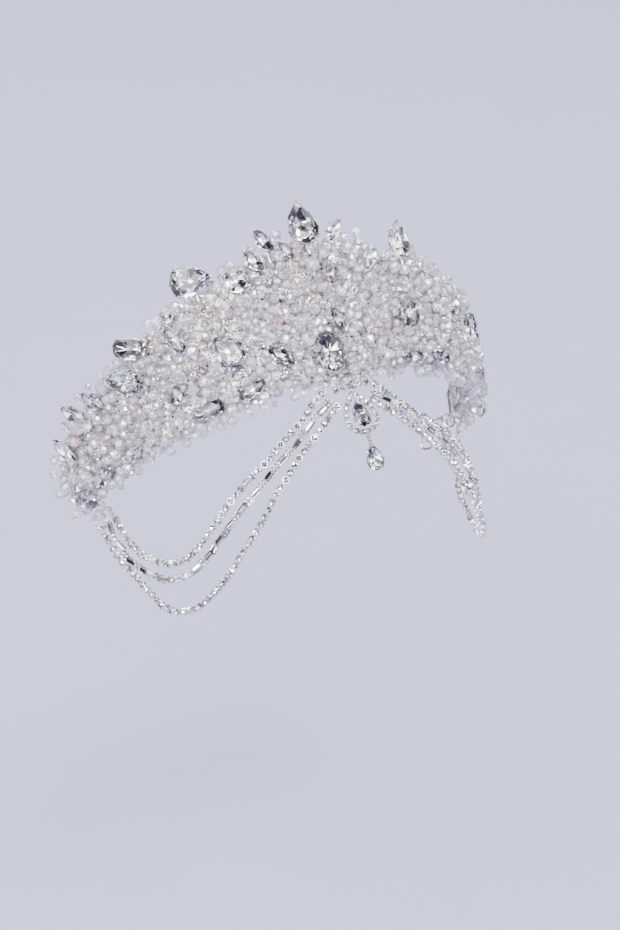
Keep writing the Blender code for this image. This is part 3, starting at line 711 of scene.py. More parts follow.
def piece(name, copies, nodes):
    """A finished piece from (shape, matrix, tint) copies, joined into one mesh on the root body."""
    points, triangles, finishes, tints, facets = [], [], [], [], []
    start = 0
    for number, (shape, matrix, tint) in enumerate(copies):
        copy = moved(shape, matrix)
        points.append(copy.points)
        triangles.append(copy.triangles + start)
        finishes.append(copy.finishes)
        tints.append(np.full(len(copy.points), tint))
        facets.append(facet_values(shape, number))
        start += len(copy.points)
    points = np.concatenate(points).astype(np.float32)
    triangles = np.concatenate(triangles).astype(np.int32)
    used, slots = np.unique(np.concatenate(finishes), return_inverse=True)
    mesh = bpy.data.meshes.new(name)
    mesh.vertices.add(len(points))
    mesh.vertices.foreach_set("co", points.ravel())
    mesh.loops.add(triangles.size)
    mesh.loops.foreach_set("vertex_index", triangles.ravel())
    mesh.polygons.add(len(triangles))
    mesh.polygons.foreach_set("loop_start", np.arange(0, triangles.size, 3, dtype=np.int32))
    mesh.polygons.foreach_set("material_index", slots.astype(np.int32).ravel())
    mesh.update(calc_edges=True)
    for layer_name, domain, values in (("tint", "POINT", tints), ("facet", "FACE", facets)):
        layer = mesh.attributes.new(layer_name, "FLOAT", domain)
        layer.data.foreach_set("value", np.concatenate(values).astype(np.float32))
    mesh.shade_flat()
    looks = palette()
    for finish in used:
        mesh.materials.append(looks[finish])
    obj = bpy.data.objects.new(name, mesh)
    bpy.context.scene.collection.objects.link(obj)
    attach(obj, "root")
    if nodes:
        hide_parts(*nodes)
    return obj


def in_place(shape):
    """A copy for piece() of a shape that is already where it belongs."""
    return shape, Matrix.Identity(4), PLAIN_TINT


def wire_through(points, diameter, finish, sides=6, closed=False):
    """A wire through points in metres, with filled ends, as a copy for piece()."""
    curve = bpy.data.curves.new("wire", "CURVE")
    curve.dimensions = "3D"
    curve.bevel_depth = diameter / 2
    curve.bevel_resolution = max(0, sides // 2 - 2)
    curve.use_fill_caps = not closed
    spline = curve.splines.new("POLY")
    spline.points.add(len(points) - 1)
    spline.points.foreach_set("co", [c for p in points for c in (*p, 1.0)])
    spline.use_cyclic_u = closed
    obj = bpy.data.objects.new("wire", curve)
    bpy.context.scene.collection.objects.link(obj)
    activate(obj)
    bpy.ops.object.convert(target="MESH")
    return in_place(finish_shape(bpy.context.object, finish))


# Repeated forms, modelled once. Sizes are millimetres, or shares of one where they are scaled later.


def round_bead():
    """A faceted round bead of diameter 1: seven sides, with its waist turned half a facet."""
    bead = primitive(bpy.ops.mesh.primitive_uv_sphere_add, segments=7, ring_count=5, radius=0.5)
    turn_ring(bead, -0.3, 0, 7)
    turn_ring(bead, 0.3, 0.45, 7)
    pick(bead, "VERT", lambda point: abs(point.co.z) > 0.49)
    bpy.ops.mesh.dissolve_verts()
    return finish_shape(bead, BEAD)


def rondelle_bead():
    """A faceted rondelle of diameter 1, flat at both ends, with a drilled hole."""
    bead = primitive(bpy.ops.mesh.primitive_cylinder_add, vertices=8, radius=0.5, depth=0.12)
    for side in (1, -1):
        pick_end(bead, side)
        grow_face(0.24 * side, 0.60)
        bpy.ops.mesh.inset(thickness=0.14, depth=-0.08)
    turn_ring(bead, 0.04, 0.08, 8)
    return finish_shape(bead, BEAD)


def bicone_bead():
    """A small bicone of diameter 1 with six sides and cut ends."""
    bead = primitive(bpy.ops.mesh.primitive_cylinder_add, vertices=6, radius=0.5, depth=0.04)
    for side in (1, -1):
        pick_end(bead, side)
        grow_face(0.38 * side, 0.34)
    return finish_shape(bead, BEAD)


def outline_point(cut, t):
    """Place on a stone's outline of length 1 and width 1, from its tip or top."""
    across = math.sin(t)
    if cut == "pear":
        across *= math.sin(t / 2) / 0.77
    if cut == "marquise":
        across *= abs(math.sin(t)) ** 0.8
    return across / 2, math.cos(t) / 2


def cut_stone_form(cut):
    """A foil backed stone of length, width and height 1 on its own back. Its rings are (share of the
    outline, height) up and down from the girdle, every second one turned half a facet, and the lowest
    closes to a keel that keeps some of its length."""
    sides = {"pear": 10, "marquise": 8, "oval": 10, "round": 8}[cut]
    keel = {"pear": 1.2, "marquise": 2.2, "oval": 1.4, "round": 1.2}[cut]
    upper = ((1.0, 0.50), (0.62, 0.93), (0.14, 1.0))
    lower = ((1.0, 0.44), (0.68, 0.31), (0.06, 0.03))
    stone = primitive(bpy.ops.mesh.primitive_cylinder_add, vertices=sides, radius=1, depth=1)
    for side in (1, -1):
        pick_end(stone, side)
        for _ in upper[1:]:
            grow_face(side, 1)
    deselect()
    for point in stone.data.vertices:
        level = round(abs(point.co.z) - 0.5)
        above = point.co.z > 0
        share, height = (upper if above else lower)[level]
        angle = math.atan2(point.co.x, point.co.y) % (2 * math.pi)
        if level % 2:
            angle += math.pi / sides
        across, along = outline_point(cut, angle)
        stretch = keel if not above and level == len(lower) - 1 else 1.0
        point.co = (across * share, along * share * stretch, height)
    paint(stone, GLASS)
    paint(stone, FOIL, lambda face: face.center.z < min(0.45, 0.43 + face.normal.z * 0.1))
    return finish_shape(stone)


def cup_form(cut):
    """The low cup under a stone: a closed wall with a hollow that the stone's point sits in."""
    sides = {"pear": 16, "marquise": 12, "oval": 16, "round": 12}[cut]
    cup = primitive(bpy.ops.mesh.primitive_cylinder_add, vertices=sides, radius=1, depth=1)
    pick_end(cup)
    grow_face(1, 1)
    grow_face(1, 1)
    deselect()
    shares = ((0.72, 0.0), (0.93, 0.30), (0.86, 0.31), (0.60, 0.05))
    for point in cup.data.vertices:
        share, height = shares[round(point.co.z + 0.5)]
        across, along = outline_point(cut, math.atan2(point.co.x, point.co.y) % (2 * math.pi))
        point.co = (across * share, along * share, height)
    return finish_shape(cup, SILVER)


def claw_form():
    """One claw of a setting, in millimetres for a stone 5 high: it rises outwards along +X from its
    foot and folds back over the stone's edge."""
    foot = {"size": 1, "location": (-0.9, 0, 0.3), "stretch": (0.5, 0.9, 0.6)}
    claw = primitive(bpy.ops.mesh.primitive_cube_add, **foot)
    for rise, reach, share in ((1.7, 1.0, 0.9), (0.6, -0.1, 0.9), (0.45, -0.65, 0.75)):
        top = max(face.center.z for face in claw.data.polygons)
        pick(claw, "FACE", lambda face: face.center.z > top - 0.01)
        push_face((reach, 0, rise), (share, share, share))
        deselect()
    return finish_shape(claw, SILVER)


def chaton_form(sides=8):
    """A tiny foiled stone of diameter 1: its crown, and the star of facets that shows in its table."""
    stone = primitive(bpy.ops.mesh.primitive_cylinder_add, vertices=sides, radius=0.5, depth=0.16)
    pick_end(stone)
    grow_face(0.20, 0.62)
    grow_face(-0.12, 0.10)
    pick_end(stone, -1)
    grow_face(-0.2, 0.4)
    turn_ring(stone, 0.2, 1, sides)
    return finish_shape(stone, FOIL)


def chain_cup_form():
    """A set stone of cup chain 1 across: a cup with four prongs and its foiled stone."""
    base = {"vertices": 8, "radius": 0.36, "depth": 0.1, "location": (0, 0, -0.42)}
    cup = primitive(bpy.ops.mesh.primitive_cylinder_add, **base)
    pick_end(cup)
    grow_face(0.46, 1.32)
    bpy.ops.mesh.inset(thickness=0.06)
    grow_face(-0.12, 0.9)
    parts = [finish_shape(cup, SILVER)]
    prong = primitive(bpy.ops.mesh.primitive_cube_add, size=0.15, location=(0.45, 0, 0.04))
    pick_end(prong)
    push_face((-0.08, 0, 0.14), (0.7, 0.7, 0.7))
    prong = finish_shape(prong, SILVER)
    parts += [moved(prong, turn(math.radians(45 + 90 * quarter), "Z")) for quarter in range(4)]
    parts.append(moved(chaton_form(), shift(0, 0, 0.04) @ scaled(0.84)))
    return together(*parts)


def baguette_form():
    """A set baguette along +Y, in millimetres: a channel with end prongs and a step cut stone."""
    add_cube = bpy.ops.mesh.primitive_cube_add
    channel = primitive(add_cube, size=1, location=(0, 0, -0.45), stretch=(2.5, 4.8, 1.3))
    pick_end(channel)
    bpy.ops.mesh.inset(thickness=0.25)
    bpy.ops.transform.translate(value=(0, 0, -0.3))
    parts = [finish_shape(channel, SILVER)]
    stone = primitive(add_cube, size=1, location=(0, 0, 0.05), stretch=(2.05, 4.3, 0.8))
    pick_end(stone)
    push_face((0, 0, 0.35), (0.62, 0.84, 1))
    push_face((0, 0, 0.18), (0.6, 0.9, 1))
    parts.append(finish_shape(stone, FOIL))
    for end in (-1, 1):
        prong = primitive(add_cube, size=0.5, location=(0, end * 2.3, 0.3))
        pick_end(prong)
        push_face((0, -0.22 * end, 0.3), (1.2, 0.7, 1))
        parts.append(finish_shape(prong, SILVER))
    return together(*parts)


def square_form(cup):
    """Four tiny set stones soldered into a square of side 1."""
    corners = [shift(x, y, 0.1) for x in (-0.25, 0.25) for y in (-0.25, 0.25)]
    return together(*[moved(cup, corner @ scaled(0.5)) for corner in corners])


def flower_form(chaton):
    """A flower of seven tiny stones on a domed plate, 5.2 mm across, with grains between them."""
    plate = primitive(bpy.ops.mesh.primitive_cylinder_add, vertices=12, radius=2.3, depth=0.5)
    pick_end(plate)
    grow_face(0.5, 0.6)
    parts = [finish_shape(plate, SILVER)]
    ring = 1.75
    sixths = np.arange(6) * math.pi / 3
    places = [(0.0, 0.0, 0.95)]
    places += [(ring * math.cos(a), ring * math.sin(a), 0.6) for a in sixths]
    for x, y, z in places:
        tilt = turn(math.atan2(y, x), "Z") @ turn(0.35 * math.hypot(x, y) / ring, "Y")
        parts.append(moved(chaton, shift(x, y, z) @ tilt @ scaled(1.6)))
    grain = primitive(bpy.ops.mesh.primitive_cube_add, size=0.34)
    pick_end(grain)
    bpy.ops.transform.resize(value=(0.6, 0.6, 1))
    grain = finish_shape(grain, SILVER)
    for a in sixths + math.pi / 6:
        for reach, height in ((1.15, 1.1), (2.15, 0.75)):
            parts.append(moved(grain, shift(reach * math.cos(a), reach * math.sin(a), height)))
    return together(*parts)


# Settings


def colour_of(name, description, code):
    """A colour setting from its sRGB hex value."""
    return FloatVectorProperty(name=name, description=description, subtype="COLOR", default=linear(code))


def length_of(name, description, size_mm):
    """A length setting from its size in millimetres."""
    return FloatProperty(name=name, description=description, default=size_mm * MM, unit="LENGTH")


def share_of(name, description, share):
    """A setting between nothing and all."""
    return FloatProperty(name=name, description=description, default=share, subtype="FACTOR")


def number_of(name, description, value):
    """A plain number setting."""
    return FloatProperty(name=name, description=description, default=value)


class BeadSettings(bpy.types.PropertyGroup):
    large: length_of("Large bead", "Diameter of the large beads", 6.1)
    middle: length_of("Middle bead", "Diameter of most beads", 4.6)
    small: length_of("Small bead", "Diameter of the small beads", 3.2)
    packing: share_of("Packing", "Least distance between beads as a share of their size", 0.82)
    seed: IntProperty(name="Seed", description="Start of the bead pattern", default=11)
    ior: number_of("IOR", "Refraction of the bead glass", 1.56)
    clearness: share_of("Clearness", "Share of light that passes the glass", 0.80)
    clear: colour_of("Clear", "Most beads", "#FDFBFE")
    # Painted shade that darkens some facets of the beads
    painted_facet_shade: colour_of("Dim facet", "Facets that pass the light", "#AFAEB4")
    blush: colour_of("Blush", "Beads with a pink coat", "#F3DCEB")
    peach: colour_of("Peach", "Beads with a peach coat", "#F7E4D2")
    ice: colour_of("Ice", "Beads with a blue coat", "#DDE8FA")


class StoneSettings(bpy.types.PropertyGroup):
    ior: number_of("IOR", "Refraction of the cut glass", 1.58)
    claw: number_of("Claw scale", "Size of the claws for a stone 5 mm high", 1.0)
    drop_claw: number_of("Drop claw scale", "Size of the claws of the two drops", 0.8)
    stem: length_of("Stem wire", "Diameter of a stem", 1.4)
    glass: colour_of("Glass", "Body of the cut glass", "#FBFBFF")
    foil: colour_of("Foil", "Silvered back", "#F8F8F8")
    # Painted shade and painted reflections that some foil facets show in place of reflected surroundings
    foil_painted_dark_shade: colour_of("Dim foil", "Facets that look dark", "#4B4A4C")
    foil_painted_grey_shade: colour_of("Grey foil", "Facets that look grey", "#8C8B8D")
    foil_painted_blue_reflection: colour_of("Cool foil", "Facets that look blue", "#C6D2E2")
    foil_painted_brown_reflection: colour_of("Warm foil", "Facets that look brown", "#B08E80")


class MetalSettings(bpy.types.PropertyGroup):
    wrap: length_of("Wrapping wire", "Diameter of the beading wire", 0.36)
    pitch: length_of("Wrap pitch", "Distance between the turns of wire", 1.9)
    bright: colour_of("Bright silver", "Plating on claws and cups", "#EDEBE6")
    dull: colour_of("Dull silver", "Plating in the hollows", "#8E857A")
    wire: colour_of("Wire", "Beading wire", "#E4E3E4")
    mesh: colour_of("Mesh", "Wires of the mesh under the beads", "#CFCDD1")
    # Painted shade that stands for the holes of the mesh
    painted_hole_shade: colour_of("Mesh holes", "Shade between those wires", "#3F3832")
    tarnish: colour_of("Tarnish", "Brown of old beading wire", "#85786C")


class ChainSettings(bpy.types.PropertyGroup):
    cup: length_of("Cup", "Diameter of a set stone", 3.3)
    halo_cup: length_of("Halo cup", "Diameter of the halo's set stones", 2.65)
    gap: length_of("Gap", "Space between set stones", 0.12)
    baguette: length_of("Baguette", "Length of a set baguette", 4.8)
    square: length_of("Square", "Side of four small set stones", 3.7)
    connector: length_of("Connector", "Diameter of the wire that joins the cups", 0.9)


class StageSettings(bpy.types.PropertyGroup):
    floor: colour_of("Floor", "Paper under and behind", "#9497B4")
    room: colour_of("Room", "Walls and softboxes", "#F2EFF5")
    shade: number_of("Studio shade", "Light from the dim parts of the room", 0.25)
    box_light: number_of("Softbox light", "Brightness of the large softboxes", 7.0)
    key: FloatProperty(name="Key power", description="Power of the key lamp", default=14.0, unit="POWER")


# Pieces


def pack_beads(settings, side):
    """Places of beads on one half, as (place in millimetres, diameter, tint)."""
    dice = random.Random(settings.seed + side)
    sizes = [settings.large / MM, settings.middle / MM, settings.small / MM]
    layers = (
        # lift from, lift to, tries, weights of the three sizes, packing, clear of stones, where
        (-1.7, -0.9, 9000, (0.14, 0.60, 0.26), settings.packing, False, "all"),
        (0.3, 2.3, 12000, (0.28, 0.50, 0.22), settings.packing, True, "outside"),
        (-0.7, 0.3, 4200, (0.0, 0.5, 0.5), settings.packing * 0.96, True, "inside"),
        (2.0, 4.6, 2600, (0.30, 0.50, 0.20), settings.packing * 1.10, True, "crest"),
    )
    centres = np.empty((0, 3))
    radii = np.empty(0)
    beads = []
    for low, high, tries, weights, packing, clear, where in layers:
        for _ in range(tries):
            degrees = dice.uniform(0.6, RIM_END_DEG + 0.6)
            share = dice.random()
            angle = side * degrees
            if dice.random() > crest_height(angle) / crest_height(0):
                continue
            (up, out), (up_turn, out_turn) = section_walk(angle, share)
            is_inside = out_turn < INSIDE_TURN
            if is_inside and where in ("outside", "crest") or where == "inside" and not is_inside:
                continue
            if where == "crest" and (up_turn < 0.3 or up < 8):
                continue
            size = dice.choices(sizes, weights)[0] * dice.uniform(0.9, 1.1)
            if is_inside:
                size = min(size, sizes[1])
            elif degrees > END_BEADS_DEG:
                size = max(size, sizes[1]) * 1.15
            lift = dice.uniform(low, high)
            up += up_turn * lift
            out += out_turn * lift
            margin = size * 0.28
            if clear and any(outside_of(angle, up, stone, margin) < 1 for stone in STONES):
                continue
            place = np.array(crown_place(angle, up, out)) / MM
            near = np.linalg.norm(centres - place, axis=1)
            if (near < (radii + size / 2) * packing).any():
                continue
            centres = np.vstack((centres, place))
            radii = np.append(radii, size / 2)
            beads.append((place, size, dice.random()))
    return beads


def random_turn(dice):
    axis = Vector((dice.gauss(0, 1), dice.gauss(0, 1), dice.gauss(0, 1))).normalized()
    return turn(dice.uniform(0, 2 * math.pi), axis)


class HEADPIECE_OT_metal(bpy.types.Operator):
    """Give the band, the chain rings and the pendant link their silver plating"""

    bl_idname = "headpiece.metal"
    bl_label = "Silver band and rings"

    def execute(self, context):
        for name in ("headband_frame", "chain_ring_left", "chain_ring_right", "pendant_link"):
            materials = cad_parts[name].data.materials
            materials.clear()
            materials.append(palette()[SILVER])
        return {"FINISHED"}


class HEADPIECE_OT_beads(bpy.types.Operator):
    """Pack the glass beads over both halves of the crown"""

    bl_idname = "headpiece.beads"
    bl_label = "Glass beads"

    def execute(self, context):
        settings = context.scene.headpiece_beads
        large_forms = (round_bead(), rondelle_bead())
        bicone = bicone_bead()
        for side, word in SIDES:
            dice = random.Random(settings.seed * 3 + side)
            copies = []
            for place, size, tint in pack_beads(settings, side):
                form = bicone if size < BICONE_UNDER_MM else dice.choices(large_forms, (0.62, 0.38))[0]
                matrix = Matrix.Translation(Vector(place) * MM) @ random_turn(dice) @ scaled(size * MM)
                copies.append((form, matrix, tint))
            piece(f"glass_beads_{word}", copies, [f"bead_field_{word}"])
        return {"FINISHED"}


class HEADPIECE_OT_ground(bpy.types.Operator):
    """Lay the silvered wire mesh that the beads are sewn to"""

    bl_idname = "headpiece.ground"
    bl_label = "Wire ground"

    def execute(self, context):
        for side, word in SIDES:
            cells = {"x_subdivisions": 56, "y_subdivisions": 44, "size": 1}
            ground = primitive(bpy.ops.mesh.primitive_grid_add, **cells)
            dice = random.Random(29 + side)
            for point in ground.data.vertices:
                degrees = 0.4 + (point.co.x + 0.5) * (RIM_END_DEG - 1.2)
                share = (point.co.y + 0.5) % 1.0
                (up, out), (up_turn, out_turn) = section_walk(side * degrees, share)
                depth = GROUND_DEPTH_MM + (0 if share == 0 else dice.uniform(-0.5, 0.5))
                if out_turn < INSIDE_TURN:
                    depth = GROUND_INSIDE_MM
                point.co = crown_place(side * degrees, up - up_turn * depth, out - out_turn * depth)
            activate(ground)
            bpy.ops.object.mode_set(mode="EDIT")
            bpy.ops.mesh.select_all(action="SELECT")
            bpy.ops.mesh.remove_doubles(threshold=0.05 * MM)
            bpy.ops.mesh.select_all(action="DESELECT")
            bpy.ops.mesh.select_mode(type="EDGE")
            bpy.ops.mesh.select_non_manifold()
            bpy.ops.mesh.fill()
            copies = [in_place(finish_shape(ground, MESH))]
            piece(f"wire_ground_{word}", copies, [f"bead_field_{word}"])
        return {"FINISHED"}


class HEADPIECE_OT_flowers(bpy.types.Operator):
    """Set the small flowers of tiny stones among the beads"""

    bl_idname = "headpiece.flowers"
    bl_label = "Rhinestone flowers"

    def execute(self, context):
        flower = flower_form(chaton_form(6))
        copies = []
        for i, (degrees, up) in enumerate(FLOWERS):
            place = crown_frame(degrees, up, FIELD_OUT_MM + 0.6, 37 * i)
            tilt = turn(0.25 * math.sin(5 * i), "X") @ turn(0.25 * math.cos(3 * i), "Y")
            copies.append((flower, place @ tilt @ scaled(1.05 * MM), PLAIN_TINT))
        piece("rhinestone_flowers", copies, [])
        return {"FINISHED"}


def set_stone(forms, cut, length, width, depth, place, claw_scale, copies):
    """Adds a stone with its cup and claws to copies. place is the frame of its back."""
    size = Matrix.Diagonal((width * MM, length * MM, depth * MM, 1))
    stone, cup, claw = forms[cut][0], forms[cut][1], forms["claw"]
    copies.append((stone, place @ size, PLAIN_TINT))
    copies.append((cup, place @ size, PLAIN_TINT))
    claw_size = Matrix.Diagonal((0.7, 0.8, depth / 5, 1)) @ scaled(claw_scale * MM)
    for angle in CLAW_TURNS[cut]:
        across, along = outline_point(cut, angle % (2 * math.pi))
        spot = Vector((across * width, along * length, 0)) * MM
        heading = turn(math.atan2(along * width, across * length), "Z")
        copies.append((claw, place @ Matrix.Translation(spot) @ heading @ claw_size, PLAIN_TINT))


def stone_forms():
    forms = {cut: (cut_stone_form(cut), cup_form(cut)) for cut in CLAW_TURNS}
    forms["claw"] = claw_form()
    return forms


class HEADPIECE_OT_stones(bpy.types.Operator):
    """Set the forty cut stones in their claws, in groups by where they sit"""

    bl_idname = "headpiece.stones"
    bl_label = "Cut stones"

    def execute(self, context):
        settings = context.scene.headpiece_stones
        forms = stone_forms()
        groups = {}
        for row in STONES:
            word = row[0].split("_")[0]
            groups.setdefault(STONE_GROUPS.get(word, word), []).append(row)
        for word, rows in groups.items():
            copies = []
            for _, cut, length, width, degrees, up, tip_turn, stem in rows:
                place = crown_frame(degrees, up, STONE_BACK_MM, tip_turn)
                depth = STONE_LEAST_DEPTH_MM + STONE_DEPTH_SHARE * width
                set_stone(forms, cut, length, width, depth, place, settings.claw, copies)
                if stem:
                    lane = STONE_BACK_MM + 0.4
                    lean = math.radians(tip_turn)
                    reach = math.hypot(length / 2 * math.cos(lean), width / 2 * math.sin(lean))
                    foot = min(up - reach, crest_height(degrees)) - STEM_HOLD_MM / 2
                    ends = [crown_place(degrees, at, lane) for at in (up - reach * 0.8, foot)]
                    copies.append(wire_through(ends, settings.stem, WIRE, 8))
            piece(f"{word}_stones", copies, [row[0] for row in rows])
        return {"FINISHED"}


class HEADPIECE_OT_wraps(bpy.types.Operator):
    """Wind the beading wire round the two rails"""

    bl_idname = "headpiece.wraps"
    bl_label = "Wire wraps"

    def execute(self, context):
        settings = context.scene.headpiece_metal
        copies = []
        radius = (BAND_WIRE_MM / 2 + settings.wrap / MM / 2) * 0.98
        turns = round(2 * RIM_HALF_WIDTH_MM * math.radians(WRAP_END_DEG) / (settings.pitch / MM))
        steps = turns * WRAP_SIDES
        for rail in ("lower", "upper"):
            points = []
            for i in range(steps + 1):
                degrees = 2 * WRAP_END_DEG * i / steps - WRAP_END_DEG
                up = LOWER_RAIL_UP_MM if rail == "lower" else crest_height(degrees) * UPPER_RAIL_SHARE
                t = 2 * math.pi * i / WRAP_SIDES
                out = RAIL_OUT_MM + radius * math.cos(t)
                points.append(crown_place(degrees, up + radius * math.sin(t), out))
            copies.append(wire_through(points, settings.wrap, WIRE, 4))
        piece("wire_wraps", copies, [])
        return {"FINISHED"}


def set_round(form, place, size_mm):
    """A set stone of a size at a place, as a copy for piece()."""
    return form, place @ scaled(size_mm * MM), PLAIN_TINT


class HEADPIECE_OT_cluster(bpy.types.Operator):
    """Model the soldered cluster of round stones under the middle of the rim"""

    bl_idname = "headpiece.cluster"
    bl_label = "Centre cluster"

    def execute(self, context):
        cup = chain_cup_form()
        base = brow_frame(CLUSTER_START_MM, 0.4)
        middle = (CLUSTER_STONES - 1) / 2
        pitch = CLUSTER_STONE_MM + CLUSTER_GAP_MM
        lift = CLUSTER_PLATE_MM * 0.5 + CLUSTER_CUP_MM
        row = [((i - middle) * pitch, 0, lift, CLUSTER_STONE_MM) for i in range(CLUSTER_STONES)]
        copies = []
        for x, y, lift, size in (*row, *CLUSTER_EXTRAS):
            place = base @ Matrix.Translation(Vector((x, y, lift)) * MM)
            copies.append(set_round(cup, place, size))
        reach = HALO_START_MM - HALO_WIRE_MM / 2 - CHAIN_GAP_MM
        ends = [brow_frame(a, HANGER_LIFT_MM).translation for a in (CLUSTER_START_MM, reach)]
        copies.append(wire_through(ends, HANGER_WIRE_MM * MM, SILVER, 8))
        piece("centre_rhinestones", copies, ["centre_cluster"])
        return {"FINISHED"}


class HEADPIECE_OT_pendant(bpy.types.Operator):
    """Model the halo of set stones, the two drops and their eyelets"""

    bl_idname = "headpiece.pendant"
    bl_label = "Pendant"

    def execute(self, context):
        settings = context.scene.headpiece_chains
        claw_scale = context.scene.headpiece_stones.drop_claw
        forms = stone_forms()
        cup = chain_cup_form()
        fine = 240
        line = []
        for i in range(fine):
            across, along = outline_point("pear", 2 * math.pi * i / fine)
            line.append(Vector((across * HALO_WIDTH_MM, along * HALO_LENGTH_MM)))
        walked = np.cumsum([0] + [(b - a).length for a, b in zip(line, line[1:] + line[:1])])
        copies = []
        for i in range(HALO_STONES):
            k = int(np.searchsorted(walked, walked[-1] * (i + 0.5) / HALO_STONES)) % fine
            copies.append(set_round(cup, self.halo_frame(line[k], 0), settings.halo_cup / MM))
        ring = [self.halo_frame(point, -0.7).translation for point in line[::6]]
        copies.append(wire_through(ring, HALO_RING_MM * MM, SILVER, 6, closed=True))
        eyelet_at = HALO_START_MM + HALO_LENGTH_MM + (HALO_WIRE_MM + EYELET_WIRE_MM) / 2 + CHAIN_GAP_MM
        copies.append(self.eyelet(eyelet_at))
        piece("halo_rhinestones", copies, ["pendant_halo"])

        lower_eyelet = eyelet_at + 2 * LINK_MM
        bail_at = lower_eyelet + EYELET_MM
        ends = [brow_frame(at, BROW_LIFT_MM).translation for at in (bail_at, bail_at + BAIL_MM)]
        bail = wire_through(ends, EYELET_WIRE_MM * MM, SILVER, 6)
        drops = (
            ("upper", UPPER_DROP_MM, UPPER_DROP_START_MM, []),
            ("lower", LOWER_DROP_MM, bail_at - DROP_OVERLAP_MM, [self.eyelet(lower_eyelet), bail]),
        )
        for level, (length, width), start, copies in drops:
            place = brow_frame(start + length / 2, DROP_BACK_MM)
            set_stone(forms, "pear", length, width, BROW_STONE_MM, place, claw_scale, copies)
            piece(f"{level}_drop_stone", copies, [f"pendant_drop_{level}"])
        return {"FINISHED"}

    def halo_frame(self, point, sink_mm):
        """Frame on the halo at a point of its outline, across and along from its middle."""
        place = brow_frame(HALO_START_MM + HALO_LENGTH_MM / 2 - point.y, BROW_LIFT_MM + sink_mm)
        return place @ Matrix.Translation(Vector((point.x, 0, 0)) * MM)

    def eyelet(self, along_mm):
        place = brow_frame(along_mm, BROW_LIFT_MM)
        turns = np.arange(16) * math.pi / 8
        points = [place @ (Vector((math.cos(t), math.sin(t), 0)) * EYELET_MM * MM) for t in turns]
        return wire_through(points, EYELET_WIRE_MM * MM, SILVER, 8, closed=True)


def sagged(side, x, y, z):
    """A place of a drape chain on its own side, lower on the wearer's left."""
    share = min(max((x - SAG_START_MM) / (SAG_END_MM - SAG_START_MM), 0), 1) ** 0.7
    drop = LEFT_SAG_MM * math.sin(math.pi * share) if side > 0 else 0
    return Vector((x * side, y - drop * 0.3, z - drop * 0.95))


def chain_route(side, level):
    """A drape chain's line in millimetres, from the cluster to the ring at the rim's end."""
    hang = CHAIN_RING_MM - (CHAIN_RING_WIRE_MM + BAND_WIRE_MM) / 2 - CHAIN_GAP_MM
    outer = CHAIN_RING_MM + CHAIN_RING_WIRE_MM / 2
    beside = {"upper": -CHAIN_SPREAD_MM, "middle": 0, "lower": CHAIN_SPREAD_MM}[level]
    point, _, up, out = rim_axes(side * CHAIN_RING_DEG)
    centre = point + up * (LOWER_RAIL_UP_MM - hang) + out * RAIL_OUT_MM
    nearest = max(abs(beside) - CHAIN_WIDTH_MM / 2, 0)
    end = centre + out * beside - up * (math.sqrt(outer**2 - nearest**2) + CHAIN_GAP_MM)
    line = [sagged(side, *place) for place in DRAPES[level]]
    return smooth_route([*line, end - up * CHAIN_LEAD_MM, end], ROUTE_STEP_MM)


class HEADPIECE_OT_chains(bpy.types.Operator):
    """Set the stones of the six drape chains along their lines"""

    bl_idname = "headpiece.chains"
    bl_label = "Drape chains"

    def execute(self, context):
        settings = context.scene.headpiece_chains
        cup = chain_cup_form()
        # form, the size it is scaled to, and its tint
        kinds = {
            "cup": (cup, settings.cup, PLAIN_TINT),
            "square": (square_form(cup), settings.square, PLAIN_TINT),
            "baguette": (baguette_form(), MM, PLAIN_TINT),
            "bead": (round_bead(), END_BEAD_MM * MM, END_BEAD_TINT),
        }
        for side, word in SIDES:
            for level in DRAPES:
                dice = random.Random(len(level) * 7 + side)
                route = chain_route(side, level)
                length = ROUTE_STEP_MM * (len(route) - 1)
                stones = self.sizes(level, length, settings)
                copies = []
                at = (length - sum(size for _, size in stones)) / 2
                for kind, size in stones:
                    k = min(round((at + size / 2) / ROUTE_STEP_MM), len(route) - 2)
                    at += size
                    along = (route[k + 1] - route[max(k - 1, 0)]).normalized()
                    across = along.cross(outward(route[k])).normalized()
                    place = frame_at(route[k] * MM, across, along, across.cross(along))
                    tilt = turn(dice.gauss(0, 0.20), "X") @ turn(dice.gauss(0, 0.22), "Y")
                    form, scale, tint = kinds[kind]
                    copies.append((form, place @ tilt @ scaled(scale), tint))
                wire = [p * MM - outward(p) * 0.6 * MM for p in route[::6]]
                copies.append(wire_through(wire, settings.connector, WIRE, 6))
                node = f"drape_chain_{level}_{word}"
                piece(f"rhinestone_chain_{level}_{word}", copies, [node])
        return {"FINISHED"}

    def sizes(self, level, length, settings):
        """Kinds and lengths of the set stones along a chain, ending with two small beads."""
        cup = (settings.cup + settings.gap) / MM
        square = (settings.square + settings.gap * 0.2) / MM
        baguette = (settings.baguette + settings.gap * 0.2) / MM
        pattern = [("square", square), ("baguette", baguette)] if level == "middle" else [("cup", cup)]
        row = []
        total = 2 * END_BEAD_MM
        while total + pattern[len(row) % len(pattern)][1] < length:
            row.append(pattern[len(row) % len(pattern)])
            total += row[-1][1]
        return row + 2 * [("bead", END_BEAD_MM)]


def aim(obj, place, target):
    """Turns a lamp or the camera from its place towards a target."""
    obj.rotation_euler = (Vector(target) - Vector(place)).to_track_quat("-Z", "Y").to_euler()


